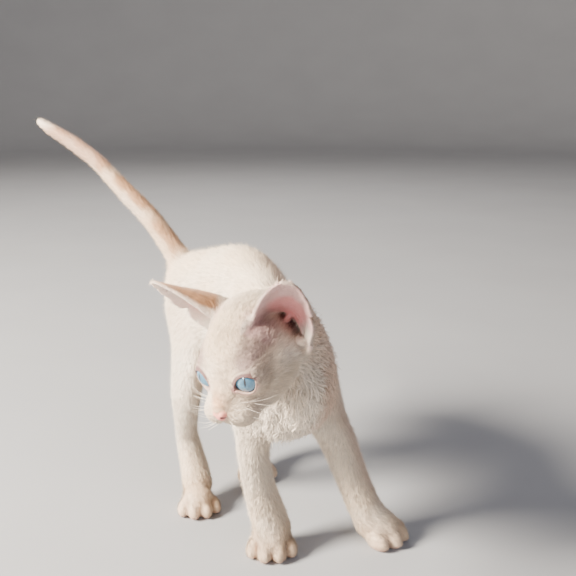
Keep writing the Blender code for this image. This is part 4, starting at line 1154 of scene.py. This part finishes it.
class Graph:
    def __init__(self, name):
        self.mat = bpy.data.materials.new(name)
        self.mat.use_nodes = True
        self.t = self.mat.node_tree
        self.t.nodes.clear()
        self.out = self.add("ShaderNodeOutputMaterial")
        self.b = self.add("ShaderNodeBsdfPrincipled")
        self.t.links.new(self.b.outputs[0], self.out.inputs[0])

    def add(self, kind, **at):
        n = self.t.nodes.new(kind)
        for k, v in at.items():
            setattr(n, k, v)
        return n

    def link(self, a, b):
        self.t.links.new(a, b)

    def put(self, **v):
        for k, x in v.items():
            self.b.inputs[k.replace("_", " ")].default_value = x

    def noise(self, scale, detail=2.0, rough=.5, where="Object", size=None):
        c = self.add("ShaderNodeTexCoord")
        n = self.add("ShaderNodeTexNoise")
        n.inputs["Scale"].default_value = scale
        n.inputs["Detail"].default_value = detail
        n.inputs["Roughness"].default_value = rough
        if size is not None:
            m = self.add("ShaderNodeMapping")
            m.inputs["Scale"].default_value = size
            self.link(c.outputs[where], m.inputs["Vector"])
            self.link(m.outputs[0], n.inputs["Vector"])
        else:
            self.link(c.outputs[where], n.inputs["Vector"])
        return n.outputs["Fac"]

    def map(self, v, a, b, c, d):
        m = self.add("ShaderNodeMapRange")
        for i, x in enumerate((a, b, c, d)):
            m.inputs[i + 1].default_value = x
        self.link(v, m.inputs[0])
        return m.outputs[0]

    def times(self, colour, value):
        m = self.add("ShaderNodeMix", data_type="RGBA", blend_type="MULTIPLY")
        m.inputs["Factor"].default_value = 1.0
        self.link(colour, m.inputs["A"])
        c = self.add("ShaderNodeCombineColor")
        for i in range(3):
            self.link(value, c.inputs[i])
        self.link(c.outputs[0], m.inputs["B"])
        return m.outputs["Result"]

    def bump(self, v, strength, distance, before=None):
        b = self.add("ShaderNodeBump")
        b.inputs["Strength"].default_value = strength
        b.inputs["Distance"].default_value = distance
        self.link(v, b.inputs["Height"])
        if before is not None:
            self.link(before, b.inputs["Normal"])
        return b.outputs[0]


def coat_material(name, rough, sheen, fine):
    g = Graph(name)
    a = g.add("ShaderNodeVertexColor", layer_name="coat")
    v = g.map(g.noise(fine, 3), .25, .75, .93, 1.05)
    g.link(g.times(a.outputs["Color"], v), g.b.inputs["Base Color"])
    g.link(g.map(g.noise(fine * .6, 2), .2, .8, rough - .07, rough + .07), g.b.inputs["Roughness"])
    g.put(Sheen_Weight=sheen, Sheen_Roughness=.45, Specular_IOR_Level=.22)
    g.b.inputs["Sheen Tint"].default_value = (1, .95, .88, 1)
    return g.mat


def skin_material():
    g = Graph("skin")
    a = g.add("ShaderNodeVertexColor", layer_name="coat")
    v = g.map(g.noise(900, 4, .6), .25, .75, .90, 1.06)
    w = g.map(g.noise(140, 3), .3, .7, .96, 1.03)
    g.link(g.times(g.times(a.outputs["Color"], v), w), g.b.inputs["Base Color"])
    g.link(g.map(g.noise(500, 3), .2, .8, .50, .72), g.b.inputs["Roughness"])
    n = g.bump(g.noise(1500, 3, .6), .35, .00025)
    g.link(g.bump(g.noise(330, 3), .3, .0006, n), g.b.inputs["Normal"])
    g.put(Specular_IOR_Level=.35, Sheen_Weight=.15)
    g.b.inputs["Subsurface Weight"].default_value = .12
    g.b.inputs["Subsurface Radius"].default_value = (.004, .0016, .001)
    g.b.inputs["Subsurface Scale"].default_value = .5
    return g.mat


def eye_material():
    """Iris, pupil and the dark edge of the iris, from each place's distance to the eye's own axis."""
    g = Graph("eye")
    c = g.add("ShaderNodeTexCoord")
    s = g.add("ShaderNodeSeparateXYZ")
    g.link(c.outputs["Object"], s.inputs[0])

    def maths(op, a, b=None):
        m = g.add("ShaderNodeMath", operation=op)
        for i, x in enumerate((a, b)):
            if x is None:
                continue
            if isinstance(x, (int, float)):
                m.inputs[i].default_value = x
            else:
                g.link(x, m.inputs[i])
        return m.outputs[0]

    x, y = s.outputs[0], s.outputs[1]
    r = maths("MULTIPLY", maths("SQRT", maths("ADD", maths("MULTIPLY", x, x), maths("MULTIPLY", y, y))), 1 / UNIT)
    angle = maths("ARCTAN2", y, x)
    ring = g.add("ShaderNodeCombineXYZ")
    g.link(maths("COSINE", angle), ring.inputs[0])
    g.link(maths("SINE", angle), ring.inputs[1])
    g.link(maths("MULTIPLY", r, .055), ring.inputs[2])
    fibre = g.add("ShaderNodeTexNoise")
    fibre.inputs["Scale"].default_value = 13
    fibre.inputs["Detail"].default_value = 3
    g.link(ring.outputs[0], fibre.inputs["Vector"])
    broad = g.add("ShaderNodeTexNoise")
    broad.inputs["Scale"].default_value = 3
    g.link(ring.outputs[0], broad.inputs["Vector"])
    ramp_ = g.add("ShaderNodeValToRGB")
    e = ramp_.color_ramp.elements
    stops = [(0, (.025, .075, .13)), (.16, (.045, .130, .21)), (.42, (.075, .200, .31)), (.70, (.10, .250, .37)), (.84, (.055, .15, .23)), (.94, (.035, .065, .10)), (1, (.02, .025, .035))]
    e[0].position, e[0].color = stops[0][0], stops[0][1] + (1,)
    e[1].position, e[1].color = stops[-1][0], stops[-1][1] + (1,)
    for at, col in stops[1:-1]:
        k = e.new(at)
        k.color = col + (1,)
    g.link(g.map(r, 0, 6.75, 0, 1), ramp_.inputs[0])
    col = g.times(ramp_.outputs[0], g.map(fibre.outputs["Fac"], .3, .7, .80, 1.22))
    col = g.times(col, g.map(broad.outputs["Fac"], .3, .7, .93, 1.07))
    # a narrow upright pupil
    px = maths("MULTIPLY", x, 1 / UNIT / .52)
    py = maths("MULTIPLY", y, 1 / UNIT / 2.35)
    pr = maths("SQRT", maths("ADD", maths("MULTIPLY", px, px), maths("MULTIPLY", py, py)))
    m = g.add("ShaderNodeMix", data_type="RGBA")
    g.link(g.map(pr, .75, 1.25, 1, 0), m.inputs["Factor"])
    g.link(col, m.inputs["A"])
    m.inputs["B"].default_value = (.008, .010, .016, 1)
    g.link(m.outputs["Result"], g.b.inputs["Base Color"])
    g.put(Roughness=.16, Coat_Weight=1.0, Coat_Roughness=.02, Specular_IOR_Level=.5)
    return g.mat


SKIN, FUR, TAIL_FUR = skin_material(), coat_material("coat", .82, .14, 420), coat_material("tail_coat", .82, .12, 420)
EAR_FUR, EYE = coat_material("ear_coat", .78, .14, 600), eye_material()
WHISKER = coat_material("whisker", .42, .1, 300)

# ------------------------------------------------------------------ build

P, TRI = make_skin()
M = Map(P, TRI)
UV = unwrapped(M.p, M.n, M.tri, M.part)
# painted shade: the skin darker where the coat grows close over it, but not inside the ears
skin_ob = mesh_piece("skin", M.p, M.tri, M.colour * (1 - .20 * np.clip(M.close, 0, 1) * (1 - M.inside))[:, None], UV)
skin_ob.data.materials.append(SKIN)
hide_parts(*[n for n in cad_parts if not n.startswith("eye_")])
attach(skin_ob, "root")

# eyes: a ball that bulges at the cornea, its own z axis along the gaze
GAZE = {1: (.418, .857, .303), -1: (-.279, .904, .324)}
for k, name in ((1, "left"), (-1, "right")):
    z = HM @ unit(GAZE[k])
    y = np.array([0, 0, 1.0]) * .75 + HM[:, 2] * .25
    y = unit(y - z * (y @ z))
    x = np.cross(y, z)
    rings, around = 72, 96
    th = np.linspace(0, np.pi, rings + 1) ** 1.0
    r = EYE_R * (1 + .052 * ramp(th, np.radians(46), np.radians(12)) - .004)
    v = [np.array([0, 0, r[0]])]
    for i in range(1, rings):
        a = np.arange(around) * 2 * np.pi / around
        v += list(np.stack([r[i] * np.sin(th[i]) * np.cos(a), r[i] * np.sin(th[i]) * np.sin(a), np.full(around, r[i] * np.cos(th[i]))], 1))
    v.append(np.array([0, 0, -r[-1]]))
    v = np.array(v) * UNIT
    t = [(0, 1 + j, 1 + (j + 1) % around) for j in range(around)]
    for i in range(rings - 2):
        for j in range(around):
            a, b = 1 + i * around + j, 1 + i * around + (j + 1) % around
            t += [(a, a + around, b + around), (a, b + around, b)]
    e = len(v) - 1
    t += [(e, 1 + (rings - 2) * around + (j + 1) % around, 1 + (rings - 2) * around + j) for j in range(around)]
    t = np.array(t)
    flat = v[t][:, :, :2] / (EYE_R * UNIT) * .24 + np.where(v[t].mean(1)[:, 2] > 0, .25, .75)[:, None, None]
    ball = mesh_piece("eyeball_" + name, v, t, None, flat, None, shift=False)
    ball.matrix_world = Matrix([list(x_) + [c_] for x_, c_ in zip(np.stack([x, y, z], 1), LIDS[k].c + SHIFT)] + [[0, 0, 0, 1]])
    ball.data.materials.append(EYE)
    bpy.context.view_layer.update()
    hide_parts("eye_" + name)
    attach(ball, "root")

# the coat, region by region
cent = M.p[M.tri].mean(1)
label = M.part[M.tri[:, 0]]
head_x = head_place(cent)[:, 0]
REGIONS = {
    "coat_head_left": ((label == 6) & (head_x >= 0), 40000, 1, "coat", FUR),
    "coat_head_right": ((label == 6) & (head_x < 0), 34000, 1, "coat", FUR),
    "coat_ears": (label >= 7, 30000, 1, "ear", EAR_FUR),
    "coat_neck": ((label == 0) & (cent[:, 1] < .018), 12000, 3, "coat", FUR),
    "coat_shoulders": ((label == 0) & (cent[:, 1] >= .018) & (cent[:, 1] < .055), 37000, 1, "coat", FUR),
    "coat_flanks": ((label == 0) & (cent[:, 1] >= .055) & (cent[:, 1] < .098), 34000, 1, "coat", FUR),
    "coat_rump": ((label == 0) & (cent[:, 1] >= .098), 36000, 1, "coat", FUR),
    "coat_fore_right": (label == 1, 26000, 1, "coat", FUR),
    "coat_fore_left": (label == 2, 28000, 1, "coat", FUR),
    "coat_hind_right": (label == 3, 17000, 1, "coat", FUR),
    "coat_hind_left": (label == 4, 17000, 1, "coat", FUR),
    "coat_tail": (label == 5, 25000, 1, "tail_coat", TAIL_FUR),
}
for i, (name, (chosen, count, rings, slot, mat)) in enumerate(REGIONS.items()):
    ids = np.nonzero(chosen)[0]
    sub = np.zeros((len(M.tri), 3, 2))
    sub[ids] = unwrapped(M.p, M.n, M.tri[ids], M.part)
    ob = tufts(name, M, ids, sub, count, rings, np.random.default_rng(100 + i))
    ob.data.materials.append(mat)
    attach(ob, "root")

# whiskers, brow hairs and the hairs low in the ears
rng = np.random.default_rng(7)
roots, ways, lengths, radii, curls = [], [], [], [], []
for k in (1, -1):
    for i in range(16):
        row, col = i // 4, i % 4
        at = np.array([(5.2 + 2.3 * col) * k, 36.0 - 2.5 * col, -13.0 - 1.9 * row + .5 * col])
        at += rng.normal(size=3) * .25
        way = np.array([(.75 + .1 * col) * k, .42 - .2 * col, -.02 - .17 * row]) + rng.normal(size=3) * .13
        o = on_head(*at)
        for _ in range(3):
            d, gr = gradient(skin, o[None])
            o = o - gr[0] * d[0] / max((gr[0] ** 2).sum(), .1)
        roots.append(o)
        ways.append(HM @ way)
        lengths.append((7.0 + 5.5 * rng.random() + 1.3 * col) * MM)
        radii.append((.085 + .03 * rng.random()) * MM)
        curls.append(2.2 + 3.6 * rng.random())
    for i in range(4):
        at = np.array([(8.5 + 1.5 * i) * k, 25.0 - 1.0 * i, 7.0])
        o = on_head(*at)
        for _ in range(3):
            d, gr = gradient(skin, o[None])
            o = o - gr[0] * d[0] / max((gr[0] ** 2).sum(), .1)
        roots.append(o)
        ways.append(HM @ (np.array([.35 * k, .55, .85]) + rng.normal(size=3) * .12))
        lengths.append((5 + 3 * rng.random()) * MM)
        radii.append(.055 * MM)
        curls.append(2.5 + 2 * rng.random())
    for i in range(26):
        e = EAR_SKINS[k].e
        at = np.array([-9.4 + rng.normal() * 1.9, -14.6 + rng.normal() * 1.7, -1.0 + rng.normal() * 1.0])
        o = e.place(*at)
        for _ in range(3):
            d, gr = gradient(skin, o[None])
            o = o - gr[0] * d[0] / max((gr[0] ** 2).sum(), .1)
        roots.append(o)
        ways.append(e.m @ (np.array([.55, .85, .1]) + rng.normal(size=3) * .28))
        lengths.append((3.0 + 3.2 * rng.random()) * MM)
        radii.append(.06 * MM)
        curls.append(1.5 + 2.5 * rng.random())
whiskers = hairs("whiskers", roots, ways, lengths, radii, curls, rng)
whiskers.data.materials.append(WHISKER)
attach(whiskers, "root")

# ------------------------------------------------------------------ floor, light and camera


def floor_material():
    g = Graph("floor")
    v = g.map(g.noise(7, 3), .3, .7, .97, 1.02)
    c = g.add("ShaderNodeRGB")
    c.outputs[0].default_value = (.31, .315, .33, 1)
    g.link(g.times(c.outputs[0], v), g.b.inputs["Base Color"])
    g.put(Roughness=.75, Specular_IOR_Level=.2)
    return g.mat


# a wide floor whose edge sweeps up all round
turn_ = np.linspace(0, np.pi / 2, 13)
profile = [(r, 0) for r in np.linspace(.1, 2.4, 16)] + [(2.4 + np.sin(a), 1 - np.cos(a)) for a in turn_[1:]] + [(3.4, h) for h in (1.4, 1.9, 2.5)]
around = 96
v = [(0, 0, 0)] + [(r * np.cos(a), r * np.sin(a), h) for r, h in profile for a in np.arange(around) * 2 * np.pi / around]
j = np.arange(around)
t = [np.stack([0 * j, 1 + j, 1 + (j + 1) % around], 1)]
for i in range(len(profile) - 1):
    a, b = 1 + i * around + j, 1 + i * around + (j + 1) % around
    t += [np.stack([a, a + around, b + around], 1), np.stack([a, b + around, b], 1)]
floor = mesh_piece("floor", np.array(v, float), np.concatenate(t), None, None, None, shift=False)
floor.data.materials.append(floor_material())

world = bpy.data.worlds.new("world")
bpy.context.scene.world = world
world.use_nodes = True
bg = world.node_tree.nodes["Background"]
bg.inputs[0].default_value = (.76, .76, .95, 1)
bg.inputs[1].default_value = .20


def lamp(name, at, aim, size, watts, colour):
    d = bpy.data.lights.new(name, "AREA")
    d.shape, d.size, d.energy, d.color = "DISK", size, watts, colour
    o = bpy.data.objects.new(name, d)
    at, aim = np.array(at, float), np.array(aim, float)
    z = unit(at - aim)
    x = unit(np.cross((0, 0, 1.0), z))
    o.matrix_world = Matrix([list(r) + [c] for r, c in zip(np.stack([x, np.cross(z, x), z], 1), at)] + [[0, 0, 0, 1]])
    bpy.context.scene.collection.objects.link(o)


MIDDLE = np.array([0, -.03, .11])
lamp("key", MIDDLE + (-1.24, .17, .74), MIDDLE, .50, 168, (1, .91, .78))
lamp("fill", MIDDLE + (.5, -2.2, 1.3), MIDDLE, 1.6, 24, (.86, .89, 1))
lamp("catch", MIDDLE + (-1.13, -.62, .10), MIDDLE, .22, 7, (1, .97, .93))
lamp("rim", MIDDLE + (.5, 1.3, .9), MIDDLE, .8, 11, (1, .94, .88))

cam = bpy.data.cameras.new("camera")
cam.sensor_width, cam.lens, cam.clip_start = 36, 55.4, .01
co = bpy.data.objects.new("camera", cam)
C, F = np.array([-.2039, -.3859, .2564]) + SHIFT, unit((.4495, .8599, -.2419))
R = unit(np.cross(F, (0, 0, 1)))
co.matrix_world = Matrix([list(r) + [c] for r, c in zip(np.stack([R, np.cross(R, F), -F], 1), C)] + [[0, 0, 0, 1]])
bpy.context.scene.collection.objects.link(co)
bpy.context.scene.camera = co

bpy.context.view_layer.update()
